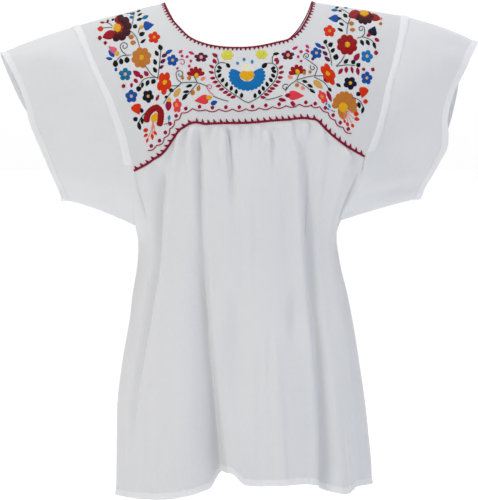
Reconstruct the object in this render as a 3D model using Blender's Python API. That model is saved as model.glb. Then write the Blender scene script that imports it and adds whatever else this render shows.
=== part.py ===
"""Peasant blouse in white cotton, filled out with no wearer.

Metres, +Z up. The front faces -Y. Zero is the middle of the shoulder line, where the wearer holds it.
Each piece is a sheet laid on one form, given a wall, and kept a hair apart from its neighbours at the seams.
"""

import math

import bpy
import numpy as np

MM = 0.001

# Cloth, seams and folded edges
WALL = 1.5 * MM
SEAM_TRIM = 0.27 * MM
HEM_WIDTH = 12.0 * MM
HEM_RAISE = 0.9 * MM
FOLD_WIDTH = 12.0 * MM
FOLD_RAISE = 1.3 * MM
FOLD_END = 0.69
FOLD_FADE = 0.05
EDGE_STEP = 0.6 * MM

# Crocheted edgings
NECK_TEETH = 78
SEAM_TEETH = 44
TOOTH_TIP = 7.5 * MM
TOOTH_ROOT = 2.8 * MM
EDGING_GAP = 0.4 * MM

# How much the yoke falls back toward the armholes: everywhere, and more per metre of drop
SIDE_EASE = 0.13
SIDE_EASE_PER_DROP = 0.55
SIDE_EASE_POWER = 2.3
SIDE_EASE_AT = 0.2

BUST_FULLNESS = 4.0 * MM

# Slope of the cloth from level, degrees, at each distance in mm from the shoulder line
FRONT_SLOPE = [(0, 2), (12, 24), (32, 44), (60, 55), (95, 62), (140, 70), (190, 80), (250, 90), (420, 90)]
BACK_SLOPE = [(0, 2), (12, 26), (32, 47), (60, 60), (95, 68), (140, 76), (190, 84), (250, 90), (420, 90)]

# Height of the shoulder line in mm at each x in mm
SHOULDER_LINE = [
    (-230, -36.4), (-215, -31.6), (-166, -18.6), (-104, -3.8), (0, 0.0),
    (104, -2.4), (155, -10.0), (190, -15.0), (232, -21.8),
]

# Neckline and yoke outline: x and height in mm, from the viewer's left to right or from the top down
FRONT_NECK = [
    (-104.5, -3.8), (-96.7, -21.6), (-83.4, -38.3), (-67.5, -53.3), (-48.1, -61.9), (-27.4, -66.2), (-1.4, -67.6),
    (27.4, -65.5), (50.8, -60.4), (71.7, -54.0), (83.0, -44.5), (91.6, -31.7), (99.1, -16.4), (102.7, -2.4),
]
BACK_NECK = [
    (-104.5, -3.8), (-95.0, -23.0), (-80.0, -43.0), (-58.0, -60.0), (-30.0, -68.5), (0.0, -70.5),
    (30.0, -68.5), (58.0, -60.0), (80.0, -43.0), (94.0, -23.0), (102.7, -2.4),
]
FRONT_SEAM = [
    (-142.8, -236.4), (-117.3, -221.8), (-95.1, -202.6), (-84.0, -185.5), (-73.1, -176.2), (-43.2, -172.8),
    (0.0, -171.6), (66.2, -167.0), (98.0, -166.2), (107.5, -169.0), (121.0, -183.0), (140.6, -198.7),
    (170.9, -216.8),
]
BACK_SEAM = [
    (-145.0, -232.0), (-118.0, -214.0), (-96.0, -194.0), (-82.0, -180.0), (-66.0, -173.0), (0.0, -171.0),
    (66.0, -172.0), (92.0, -177.0), (116.0, -191.0), (140.0, -206.0), (168.0, -220.0),
]
RIGHT_FRONT_ARMHOLE = [
    (-223.9, -34.4), (-210.0, -59.1), (-191.4, -101.4), (-167.0, -152.3), (-151.8, -197.4), (-142.8, -236.4),
]
RIGHT_BACK_ARMHOLE = [
    (-223.9, -34.4), (-212.0, -62.0), (-194.0, -106.0), (-171.0, -156.0), (-155.0, -200.0), (-145.0, -232.0),
]
LEFT_FRONT_ARMHOLE = [
    (226.6, -20.9), (221.4, -47.9), (212.8, -83.2), (200.8, -124.8), (186.8, -179.7), (170.9, -216.8),
]
LEFT_BACK_ARMHOLE = [
    (226.6, -20.9), (220.5, -52.0), (210.0, -92.0), (196.0, -138.0), (182.0, -185.0), (168.0, -220.0),
]

# Lowest point of each armhole: x, height, mm
RIGHT_UNDERARM = (-144.7, -314.4)
LEFT_UNDERARM = (134.0, -309.6)

# Rings of the body, mm: height, half width to the wearer's right, to the wearer's left, front depth, back depth
BODY_RINGS = [
    (-340, 141.0, 137.0, 117, 98),
    (-370, 142.5, 142.0, 118, 100),
    (-410, 149.0, 151.0, 121, 103),
    (-450, 154.5, 159.0, 125, 107),
    (-510, 164.5, 168.5, 131, 113),
    (-560, 170.5, 176.0, 136, 119),
    (-610, 171.5, 181.5, 141, 125),
    (-650, 171.5, 185.5, 144, 129),
    (-705, 171.5, 187.0, 147, 132),
]
RING_ROUNDNESS = 2.45

# Height of the hem in mm at each bearing in degrees from the front, wearer's right negative
HEM_LINE = [
    (-180, -690), (-140, -693), (-90, -697), (-58, -687), (-40, -682), (-29, -678), (-20, -670), (-13.5, -660),
    (-8, -643), (-2, -656), (11, -661), (25, -659), (36, -663), (41, -668), (52, -679), (64, -678), (90, -681),
    (140, -692), (180, -690),
]

# Folds of the body. Bearing in degrees at the top, middle and foot, height of top and foot in mm,
# depth in mm at top and foot (inward is positive) and half width in mm at top and foot
BODY_FOLDS = [
    (-29, -22.5, -8.0, -175, -700, 3.0, 23.0, 6, 19),
    (41, 43.0, 41.5, -180, -700, 3.0, 13.0, 6, 11),
    (-47, -53.0, -58.5, -225, -600, 4.5, 3.0, 8, 12),
    (-15, -9.0, -7.0, -180, -270, -3.5, -1.0, 7, 8),
    (-5, -3.0, -1.0, -215, -320, 2.5, 1.0, 6, 8),
    (23, 23.0, 23.0, -180, -226, -3.0, -1.0, 6, 7),
    (49, 49.0, 49.0, -190, -420, -3.0, -3.0, 9, 12),
    (38, 36.0, 33.0, -395, -480, 2.5, 2.5, 14, 16),
    (0, 2.0, 4.0, -440, -560, 2.0, 3.0, 26, 30),
    (22, 22.0, 21.0, -430, -700, -1.0, -6.0, 30, 34),
    (-34, -33.0, -32.0, -380, -700, -2.0, -9.0, 28, 34),
    (50, 52.0, 53.0, -440, -700, -1.0, -5.0, 16, 15),
    (64, 64.0, 65.0, -480, -700, 1.0, 6.0, 12, 13),
    (-66, -67.0, -70.0, -420, -700, 1.0, 5.0, 14, 15),
    (80, 81.0, 82.0, -380, -700, -1.0, -2.5, 14, 16),
    (-84, -84.0, -86.0, -420, -700, 1.0, -2.5, 14, 18),
    (103, 103.0, 104.0, -360, -700, 2.0, 10.0, 12, 16),
    (128, 127.0, 126.0, -240, -700, -2.0, -9.0, 14, 22),
    (149, 149.0, 150.0, -190, -700, 3.0, 16.0, 7, 16),
    (168, 170.0, 173.0, -200, -700, -2.0, -9.0, 14, 24),
    (-166, -164.0, -162.0, -185, -700, 3.0, 17.0, 7, 17),
    (-145, -142.0, -139.0, -230, -700, -2.0, -9.0, 14, 22),
    (-122, -120.0, -117.0, -260, -700, 3.0, 12.0, 9, 16),
    (-103, -102.0, -101.0, -380, -700, -1.0, -6.0, 14, 18),
]

# Gathers under the yoke. Bearing in degrees, length in mm, height in mm (outward is positive)
FRONT_GATHERS = [
    (-54.5, 34, 2.0), (-51.0, 46, -1.8), (-47.5, 40, 2.2), (-43.6, 62, -2.0), (-40.2, 44, 2.0), (-36.6, 38, -1.6),
    (-32.4, 66, 2.4), (-25.6, 50, 2.2), (-21.8, 40, -1.6), (-18.0, 34, 1.6), (-9.4, 44, -2.0), (-1.6, 38, 1.8),
    (2.6, 40, -1.4), (6.8, 30, 1.4), (11.0, 44, -1.8), (15.0, 38, 1.8), (19.0, 44, -1.8), (27.0, 42, -1.8),
    (31.0, 34, 1.6), (35.4, 52, 2.2), (38.6, 46, -1.8), (43.6, 54, 2.4), (47.0, 40, -1.8), (50.6, 48, 2.2),
    (54.2, 42, -2.0), (57.6, 40, 1.8), (61.2, 36, -1.6), (64.6, 30, 1.6),
]
BACK_GATHERS = [
    (-125.0, 36, 1.8), (-131.0, 44, -1.8), (-137.0, 40, 2.0), (-143.0, 50, -1.8), (-149.0, 44, 2.0),
    (-155.0, 40, -1.6), (-161.0, 52, 2.0), (-168.0, 46, -1.8), (-174.0, 40, 1.8), (179.0, 44, -1.8),
    (172.0, 42, 1.8), (165.0, 50, -1.8), (158.0, 44, 2.0), (152.0, 46, -1.6), (145.0, 40, 1.8),
    (138.0, 48, -1.8), (131.0, 42, 2.0), (124.0, 36, -1.6),
]
GATHER_HALF_WIDTH = 4.2 * MM
GATHER_RISE = 9.0 * MM

# Sleeves, mm. The ends of the cuff and of the ring halfway along, seen from the front, and their front and back
# depths. The cut is how far in the cuff's edge lies at each share of the way down; the front lies in more.
RIGHT_SLEEVE = {
    "middle_top": (-281.0, -50.5), "middle_bottom": (-206.0, -288.5), "middle_depth": (60, 56),
    "cuff_top": (-336.0, -73.0), "cuff_bottom": (-254.5, -277.0), "cuff_depth": (46, 50),
    "front_cut": [(0, 0.0), (0.3, 8.0), (0.4, 9.0), (0.5, 6.0), (0.6, 4.5), (0.72, 3.0), (1, 0.0)],
    "back_cut": [(0, 0.0), (0.4, 1.5), (0.6, 3.0), (0.72, 2.5), (1, 0.0)],
}
LEFT_SLEEVE = {
    "middle_top": (284.0, -35.5), "middle_bottom": (197.0, -290.0), "middle_depth": (60, 56),
    "cuff_top": (336.0, -59.0), "cuff_bottom": (256.0, -275.0), "cuff_depth": (46, 50),
    "front_cut": [(0, 0.0), (0.3, 8.5), (0.43, 7.0), (0.5, 1.0), (0.57, -6.0), (0.67, -7.0), (0.82, -3.0), (1, 0.0)],
    "back_cut": [(0, 0.0), (0.3, 4.0), (0.42, 0.0), (0.5, -3.0), (0.6, -4.5), (0.7, -4.0), (0.82, -2.0), (1, 0.0)],
}

# Soft hollows in a sleeve: share of the way round from the shoulder (back is negative), share of the length,
# depth in mm, half width round and half length along in shares
RIGHT_SLEEVE_FOLDS = [
    (0.22, 0.45, 4.0, 0.07, 0.40), (0.47, 0.35, -2.5, 0.09, 0.40), (0.72, 0.60, 4.5, 0.07, 0.45),
    (0.86, 0.40, 3.0, 0.05, 0.35), (-0.30, 0.50, 4.0, 0.08, 0.50), (-0.62, 0.50, 5.0, 0.08, 0.50),
]
LEFT_SLEEVE_FOLDS = [
    (0.18, 0.70, 3.0, 0.06, 0.35), (0.40, 0.30, -2.5, 0.10, 0.40), (0.66, 0.55, 4.0, 0.06, 0.45),
    (0.80, 0.62, 4.5, 0.05, 0.40), (-0.32, 0.50, 4.0, 0.08, 0.50), (-0.60, 0.50, 5.0, 0.08, 0.50),
]

# Columns and rows of each piece
FRONT_SEAM_COLUMNS = 64
BACK_SEAM_COLUMNS = 36
ARMHOLE_COLUMNS = 10
UNDERARM_COLUMNS = 8
YOKE_ROWS = [0.0, 0.14, 0.34, 0.56, 0.78, 1.0]
BODY_ROWS = [0.0, 0.016, 0.034, 0.06, 0.1, 0.16, 0.24, 0.34, 0.45, 0.56, 0.68, 0.8, 0.91]

COTTON = (0.86, 0.85, 0.82, 1.0)
CRIMSON = (0.28, 0.005, 0.06, 1.0)


def smooth(rows, at):
    """Value at each position, on a soft curve through table rows of position and value."""
    place, value = np.array(rows, float).T
    at = np.clip(np.asarray(at, float), place[0], place[-1])
    step = np.diff(place)
    rise = np.diff(value) / step
    bend = (rise[1:] * step[:-1] + rise[:-1] * step[1:]) / (step[1:] + step[:-1])
    bend[rise[1:] * rise[:-1] <= 0] = 0.0
    slope = np.concatenate(([rise[0]], bend, [rise[-1]]))
    i = np.clip(np.searchsorted(place, at) - 1, 0, len(step) - 1)
    t = (at - place[i]) / step[i]
    start = (1 + 2 * t) * (1 - t) ** 2 * value[i] + t * (1 - t) ** 2 * step[i] * slope[i]
    end = t * t * (3 - 2 * t) * value[i + 1] + t * t * (t - 1) * step[i] * slope[i + 1]
    return start + end


def unit(vectors):
    """Vectors of length one."""
    return vectors / np.linalg.norm(vectors, axis=-1, keepdims=True)


# The yoke's form

LENGTHS = np.arange(421) * MM


def profile(rows):
    """Reach outward and drop of the cloth at each millimetre from the shoulder line."""
    angle = np.radians(smooth(rows, LENGTHS / MM))
    reach = np.concatenate(([0.0], np.cumsum(np.cos(angle[:-1]) * MM)))
    drop = np.concatenate(([0.0], np.cumsum(np.sin(angle[:-1]) * MM)))
    return reach, drop


PROFILES = {1: profile(FRONT_SLOPE), -1: profile(BACK_SLOPE)}


def shoulder_height(x):
    """Height of the shoulder line."""
    return smooth(SHOULDER_LINE, x / MM) * MM


def along_cloth(x, z, side):
    """Distance on the cloth from the shoulder line to a height, front positive."""
    return side * np.interp(shoulder_height(x) - z, PROFILES[side][1], LENGTHS)


def on_shoulders(x, along):
    """Points of the yoke's form, from x and the distance on the cloth from the shoulder line."""
    side = np.where(along >= 0, 1, -1)
    length = np.abs(along)
    reach = np.where(side > 0, *(np.interp(length, LENGTHS, PROFILES[s][0]) for s in (1, -1)))
    drop = np.where(side > 0, *(np.interp(length, LENGTHS, PROFILES[s][1]) for s in (1, -1)))
    aside = (np.abs(x) / SIDE_EASE_AT) ** SIDE_EASE_POWER
    reach = reach * (1 - (SIDE_EASE + SIDE_EASE_PER_DROP * drop) * aside)
    return np.stack([x, -side * reach, shoulder_height(x) - drop], axis=-1)


def flat_bearings(rows, side):
    """Table rows of x and height as bearing and radius on the flat cloth, round the middle of the neck."""
    x, z = np.array(rows, float).T * MM
    along = along_cloth(x, z, side)
    bearing = np.mod(np.arctan2(along, x), 2 * math.pi)
    bearing = np.where((side < 0) & (bearing < 1e-6), 2 * math.pi, bearing)
    table = np.stack([bearing, np.hypot(x, along)], axis=1)
    return table[np.argsort(table[:, 0])]


def round_table(front, back):
    """One closed table of bearing and radius from a front and a back half."""
    table = np.concatenate([front, back[1:-1]])
    turn = np.array([2 * math.pi, 0])
    return np.concatenate([table[-3:] - turn, table, table[:3] + turn])


NECK_TABLE = round_table(flat_bearings(FRONT_NECK, 1), flat_bearings(BACK_NECK, -1))

# The yoke's outer edge from the wearer's left shoulder round the front: table, face, columns
YOKE_SPANS = [
    (LEFT_FRONT_ARMHOLE, 1, ARMHOLE_COLUMNS),
    (FRONT_SEAM, 1, FRONT_SEAM_COLUMNS),
    (RIGHT_FRONT_ARMHOLE, 1, ARMHOLE_COLUMNS),
    (RIGHT_BACK_ARMHOLE, -1, ARMHOLE_COLUMNS),
    (BACK_SEAM, -1, BACK_SEAM_COLUMNS),
    (LEFT_BACK_ARMHOLE, -1, ARMHOLE_COLUMNS),
]


def even(points, count):
    """Points spaced evenly along a dense line, both ends kept."""
    length = np.concatenate(([0.0], np.cumsum(np.linalg.norm(np.diff(points, axis=0), axis=1))))
    at = np.linspace(0, length[-1], count + 1)
    return np.stack([np.interp(at, length, column) for column in points.T], axis=-1)


def yoke_edge():
    """Flat points of the yoke's outer edge, and the number of the column where each span starts."""
    points = []
    starts = [0]
    for rows, side, count in YOKE_SPANS:
        table = flat_bearings(rows, side)
        bearing = np.linspace(table[0, 0], table[-1, 0], 400)
        radius = smooth(table, bearing)
        dense = np.stack([radius * np.cos(bearing), radius * np.sin(bearing)], axis=-1)
        points.append(even(dense, count)[:-1])
        starts.append(starts[-1] + count)
    return np.concatenate(points), starts


EDGE, STARTS = yoke_edge()


def yoke_grid():
    """Rows from the neckline out to the seams, closed round the neck."""
    bearing = np.mod(np.arctan2(EDGE[:, 1], EDGE[:, 0]), 2 * math.pi)
    radius = smooth(NECK_TABLE, bearing)
    neck = np.stack([radius * np.cos(bearing), radius * np.sin(bearing)], axis=-1)
    flat = np.stack([neck + (EDGE - neck) * share for share in YOKE_ROWS])
    return on_shoulders(flat[..., 0], flat[..., 1])


YOKE = yoke_grid()


def edge_span(first, last):
    """Points of the yoke's outer edge between two span starts, both ends kept."""
    return YOKE[-1][np.arange(STARTS[first], STARTS[last] + 1) % len(EDGE)]


# Armholes

def underarm(corner, lowest):
    """A quarter turn from a corner of the yoke down to the armhole's lowest point."""
    x, z = lowest[0] * MM, lowest[1] * MM
    turn = np.linspace(0, math.pi / 2, UNDERARM_COLUMNS + 1)
    ease = np.sin(turn) ** 1.5
    return np.stack([
        corner[0] + (x - corner[0]) * ease,
        corner[1] * np.cos(turn),
        corner[2] + (z - corner[2]) * np.sin(turn),
    ], axis=-1)


LEFT_FRONT = edge_span(0, 1)
FRONT_TOP = edge_span(1, 2)
RIGHT_FRONT = edge_span(2, 3)[::-1]
RIGHT_BACK = edge_span(3, 4)
BACK_TOP = edge_span(4, 5)
LEFT_BACK = edge_span(5, 6)[::-1]

RIGHT_FRONT_LOWER = underarm(RIGHT_FRONT[-1], RIGHT_UNDERARM)
RIGHT_BACK_LOWER = underarm(RIGHT_BACK[-1], RIGHT_UNDERARM)
LEFT_FRONT_LOWER = underarm(LEFT_FRONT[-1], LEFT_UNDERARM)
LEFT_BACK_LOWER = underarm(LEFT_BACK[-1], LEFT_UNDERARM)


def armhole(front, front_lower, back, back_lower):
    """Closed line from the shoulder down the front and up the back, and each point's share of the way down.

    The share is 0 at the shoulder and 1 under the arm, and negative on the back.
    """
    sides = []
    for upper, lower in ((front, front_lower), (back, back_lower)):
        line = np.concatenate([upper, lower[1:]])
        length = np.concatenate(([0.0], np.cumsum(np.linalg.norm(np.diff(line, axis=0), axis=1))))
        sides.append((line, length / length[-1]))
    points = np.concatenate([sides[0][0], sides[1][0][-2:0:-1]])
    share = np.concatenate([sides[0][1], -sides[1][1][-2:0:-1]])
    return points, share


# Body

def bump(distance, half_width):
    """Soft hill, one at its crest."""
    return np.exp(-(distance / half_width) ** 2)


def turned(angle):
    """Angle in degrees brought to within half a turn."""
    return (angle + 180) % 360 - 180


def folds_at(bearing, radius, z):
    """How far the folds move the cloth inward at a bearing in degrees."""
    moved = np.zeros_like(z)
    for top, middle, foot, z_top, z_foot, deep_top, deep_foot, wide_top, wide_foot in BODY_FOLDS:
        t = np.clip((z_top * MM - z) / ((z_top - z_foot) * MM), 0, 1)
        line = top * (1 - t) * (1 - 2 * t) + middle * 4 * t * (1 - t) + foot * t * (2 * t - 1)
        depth = (deep_top + (deep_foot - deep_top) * t) * MM
        width = (wide_top + (wide_foot - wide_top) * t) * MM
        start = np.clip((z_top * MM - z) / (25 * MM), 0, 1)
        end = 1.0 if z_foot <= -690 else np.clip((z - z_foot * MM) / (40 * MM), 0, 1)
        moved = moved + depth * start * end * bump(np.radians(turned(bearing - line)) * radius, width)
    return moved


def gathers_at(bearing, radius, below, table):
    """How far the gathers lift the cloth outward at a distance below the seam."""
    lifted = np.zeros_like(below)
    for place, length, height in table:
        start = np.clip(below / GATHER_RISE, 0, 1)
        fade = np.clip(1 - below / (length * MM), 0, 1) ** 1.3
        across = np.radians(turned(bearing - place)) * radius
        lifted = lifted + height * MM * start * fade * bump(across, GATHER_HALF_WIDTH)
    return lifted


def ring_radius(direction, ring):
    """Radius of a body ring in a direction, a soft oval."""
    _, right, left, front, back = ring
    half_width = (right if direction[0] < 0 else left) * MM
    depth = (front if direction[1] < 0 else back) * MM
    across = abs(direction[0]) / half_width
    deep = abs(direction[1]) / depth
    return (across**RING_ROUNDNESS + deep**RING_ROUNDNESS) ** (-1 / RING_ROUNDNESS)


def body_column(top, gathers):
    """Points of the body from a seam point down to the hem."""
    radius = math.hypot(top[0], top[1])
    direction = top[:2] / radius
    bearing = math.degrees(math.atan2(direction[0], -direction[1]))
    hem = float(smooth(HEM_LINE, bearing)) * MM
    z = top[2] + (hem + HEM_WIDTH + EDGE_STEP - top[2]) * np.array(BODY_ROWS)
    z = np.concatenate([z, [hem + HEM_WIDTH + EDGE_STEP, hem + HEM_WIDTH, hem]])
    rows = [(ring[0] * MM, ring_radius(direction, ring)) for ring in BODY_RINGS[::-1]]
    form = smooth([*rows, (top[2], radius)], z)
    below = top[2] - z
    bust = np.clip(below / 0.17, 0, 1)
    form = form + BUST_FULLNESS * 4 * bust * (1 - bust) * max(-direction[1], 0) ** 2
    settle = np.clip(below / (12 * MM), 0, 1)
    form = form - folds_at(bearing, form, z) * settle + gathers_at(bearing, form, below, gathers)
    return np.stack([direction[0] * form, direction[1] * form, z], axis=-1)


def body_grid(top_line, gathers):
    """Rows from the top seam down to the hem."""
    return np.stack([body_column(point, gathers) for point in top_line], axis=1)


# Sleeves

def sleeve_ring(share, top, bottom, depth, cuts):
    """A ring of the sleeve, from its top and bottom seen from the front, and its front and back depth and cut."""
    turn = np.abs(share) * math.pi
    down = (1 - np.cos(turn)) / 2
    side = np.where(share >= 0, 1, -1)
    deep = np.where(share >= 0, depth[0], depth[1]) * MM
    top = np.array(top) * MM
    bottom = np.array(bottom) * MM
    out = math.copysign(1.0, top[0])
    down_share = np.abs(share)
    inset = np.where(share >= 0, smooth(cuts[0], down_share), smooth(cuts[1], down_share)) * MM * out
    x = top[0] + (bottom[0] - top[0]) * down - inset
    z = top[1] + (bottom[1] - top[1]) * down
    return np.stack([x, -side * deep * np.sin(turn) ** 0.85, z], axis=-1)


def sleeve_grid(line, share, shape, folds):
    """Rows from the armhole out to the cuff, closed round the arm."""
    straight = [(0, 0.0), (1, 0.0)]
    cuts = (shape["front_cut"], shape["back_cut"])
    middle = sleeve_ring(
        share, shape["middle_top"], shape["middle_bottom"], shape["middle_depth"], (straight, straight)
    )
    cuff = sleeve_ring(share, shape["cuff_top"], shape["cuff_bottom"], shape["cuff_depth"], cuts)
    length = np.linalg.norm(middle - line, axis=1) + np.linalg.norm(cuff - middle, axis=1)
    rows = [np.zeros_like(length)]
    rows += [np.full_like(length, FOLD_WIDTH), np.full_like(length, FOLD_WIDTH + EDGE_STEP)]
    body = length - HEM_WIDTH - FOLD_WIDTH
    rows += [FOLD_WIDTH + body * t for t in (0.24, 0.5, 0.76)]
    rows += [length - HEM_WIDTH - EDGE_STEP, length - HEM_WIDTH, length]
    grid = []
    for row in rows:
        t = (row / length)[:, None]
        grid.append(line * (1 - t) * (1 - 2 * t) + middle * 4 * t * (1 - t) + cuff * t * (2 * t - 1))
    grid = np.stack(grid)
    normal = normals(grid, True)
    t = np.stack([row / length for row in rows])
    for place, along, depth, wide, long in folds:
        hill = bump(share - place, wide) * bump(t - along, long) * np.clip(t / 0.2, 0, 1)
        grid = grid - normal * (depth * MM * hill)[..., None]
    return grid


# Walls

def normals(grid, closed):
    """Outward direction at each point of a sheet, away from the inside of the blouse."""
    down = np.gradient(grid, axis=0)
    if closed:
        across = np.roll(grid, -1, axis=1) - np.roll(grid, 1, axis=1)
    else:
        across = np.gradient(grid, axis=1)
    return unit(np.cross(across, down))


def seam_key(point):
    """Where a seam point is, to a hundredth of a millimetre."""
    return tuple(np.round(point / (0.01 * MM)).astype(int))


def border(grid, closed):
    """Index pairs of a sheet's border points."""
    rows, columns = grid.shape[:2]
    pairs = [(r, c) for r in (0, rows - 1) for c in range(columns)]
    if not closed:
        pairs += [(r, c) for c in (0, columns - 1) for r in range(1, rows - 1)]
    return pairs


def share_seams(sheets):
    """Give points that meet at a seam one wall direction, so that the gap holds through the walls."""
    total = {}
    for grid, closed, direction in sheets.values():
        for pair in border(grid, closed):
            key = seam_key(grid[pair])
            total[key] = total.get(key, 0) + direction[pair]
    for grid, closed, direction in sheets.values():
        for pair in border(grid, closed):
            direction[pair] = unit(total[seam_key(grid[pair])])


def drawn_back(line, next_line, closed):
    """A seam edge moved square to itself toward the next line of the sheet."""
    along = unit(np.roll(line, -1, axis=0) - np.roll(line, 1, axis=0) if closed else np.gradient(line, axis=0))
    inward = next_line - line
    inward = inward - along * np.einsum("ij,ij->i", inward, along)[:, None]
    return line + unit(inward) * SEAM_TRIM


def trimmed(grid, closed, edges):
    """The sheet with its seam edges drawn back."""
    grid = grid.copy()
    if "first row" in edges:
        grid[0] = drawn_back(grid[0], grid[1], closed)
    if "last row" in edges:
        grid[-1] = drawn_back(grid[-1], grid[-2], closed)
    if "sides" in edges:
        grid[:, 0] = drawn_back(grid[:, 0], grid[:, 1], False)
        grid[:, -1] = drawn_back(grid[:, -1], grid[:, -2], False)
    return grid


def material(name, colour, roughness):
    """A plain shader in one colour."""
    made = bpy.data.materials.new(name)
    made.use_nodes = True
    made.diffuse_color = colour
    shader = made.node_tree.nodes["Principled BSDF"]
    shader.inputs["Base Color"].default_value = colour
    shader.inputs["Roughness"].default_value = roughness
    return made


def add_object(name, points, faces, colour):
    """One closed solid with its own material, its faces turned outward."""
    corners = np.array([(a, b, c) for a, b, c, _ in faces] + [(a, c, d) for a, _, c, d in faces])
    p, q, r = (points[corners[:, k]] for k in range(3))
    if np.einsum("ij,ij->i", p, np.cross(q, r)).sum() < 0:
        faces = [face[::-1] for face in faces]
    mesh = bpy.data.meshes.new(name)
    mesh.from_pydata(points.tolist(), [], faces)
    made = bpy.data.objects.new(name, mesh)
    mesh.materials.append(material(name, colour, 0.85))
    bpy.context.scene.collection.objects.link(made)
    return made


def wall(name, grid, direction, closed, raised, colour):
    """A sheet given a wall outward, with its raised parts in the outer face only."""
    outer = grid + direction * (WALL + raised)[..., None]
    rows, columns = grid.shape[:2]
    count = rows * columns
    points = np.concatenate([grid.reshape(-1, 3), outer.reshape(-1, 3)])
    faces = []

    def index(row, column):
        return row * columns + column % columns

    last = columns if closed else columns - 1
    for row in range(rows - 1):
        for column in range(last):
            a, b = index(row, column), index(row, column + 1)
            c, d = index(row + 1, column + 1), index(row + 1, column)
            faces.append((a, b, c, d))
            faces.append((d + count, c + count, b + count, a + count))
    for column in range(last):
        a, b = index(0, column), index(0, column + 1)
        faces.append((b, a, a + count, b + count))
        a, b = index(rows - 1, column), index(rows - 1, column + 1)
        faces.append((a, b, b + count, a + count))
    if not closed:
        for row in range(rows - 1):
            a, b = index(row, 0), index(row + 1, 0)
            faces.append((a, b, b + count, a + count))
            a, b = index(row, columns - 1), index(row + 1, columns - 1)
            faces.append((b, a, a + count, b + count))
    add_object(name, points, faces, colour)
    return outer


# Edgings

def on_sheet(grid, direction, row, column):
    """Point and outward direction between a sheet's own points, also a little beyond its first or last row."""
    rows, columns = grid.shape[:2]
    r = int(np.clip(math.floor(row), 0, rows - 2))
    c = math.floor(column)
    u, v = row - r, column - c
    weights = [((1 - u) * (1 - v), r, c), (u * (1 - v), r + 1, c), ((1 - u) * v, r, c + 1), (u * v, r + 1, c + 1)]
    point = sum(w * grid[i, j % columns] for w, i, j in weights)
    facing = sum(w * direction[i, j % columns] for w, i, j in weights)
    return point, unit(facing)


def edging(name, grid, direction, edge_row, inward, columns, closed, section):
    """A toothed strip laid along one row of the yoke.

    columns: first and last column of the yoke; section: rows of distance from the edge and height above the
    cloth, where a distance of None is the tip of a tooth or the root between two.
    """
    first, last, teeth = columns
    line = grid[edge_row][np.arange(first, last + 1) % grid.shape[1]]
    length = np.concatenate(([0.0], np.cumsum(np.linalg.norm(np.diff(line, axis=0), axis=1))))
    stations = np.linspace(0, length[-1], 2 * teeth + 1)
    if closed:
        stations = stations[:-1]
    edge_share = float(edge_row % grid.shape[0])
    points = []
    for number, station in enumerate(stations):
        column = first + float(np.interp(station, length, np.arange(len(length))))
        edge_point, _ = on_sheet(grid, direction, edge_share, column)
        next_point, _ = on_sheet(grid, direction, edge_share + inward, column)
        spacing = float(np.linalg.norm(next_point - edge_point))
        reach = TOOTH_TIP if number % 2 else TOOTH_ROOT
        for distance, height in section:
            away = reach if distance is None else distance
            point, facing = on_sheet(grid, direction, edge_share + inward * away / spacing, column)
            points.append(point + facing * height)
    size = len(section)
    count = len(stations)
    faces = []
    for number in range(count if closed else count - 1):
        for k in range(size):
            a = number * size + k
            b = number * size + (k + 1) % size
            after = (number + 1) % count
            faces.append((a, b, after * size + (k + 1) % size, after * size + k))
    points = np.array(points)
    if not closed:
        end = (count - 1) * size
        for k in range(1, size - 1, 2):
            faces.append((0, k + 1, k, k) if k + 2 > size - 1 else (0, k + 2, k + 1, k))
            tail = (end, end + k, end + k + 1) if k + 2 > size - 1 else (end, end + k, end + k + 1, end + k + 2)
            faces.append(tail if len(tail) == 4 else (*tail, tail[-1]))
    add_object(name, points, faces, CRIMSON)


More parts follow.
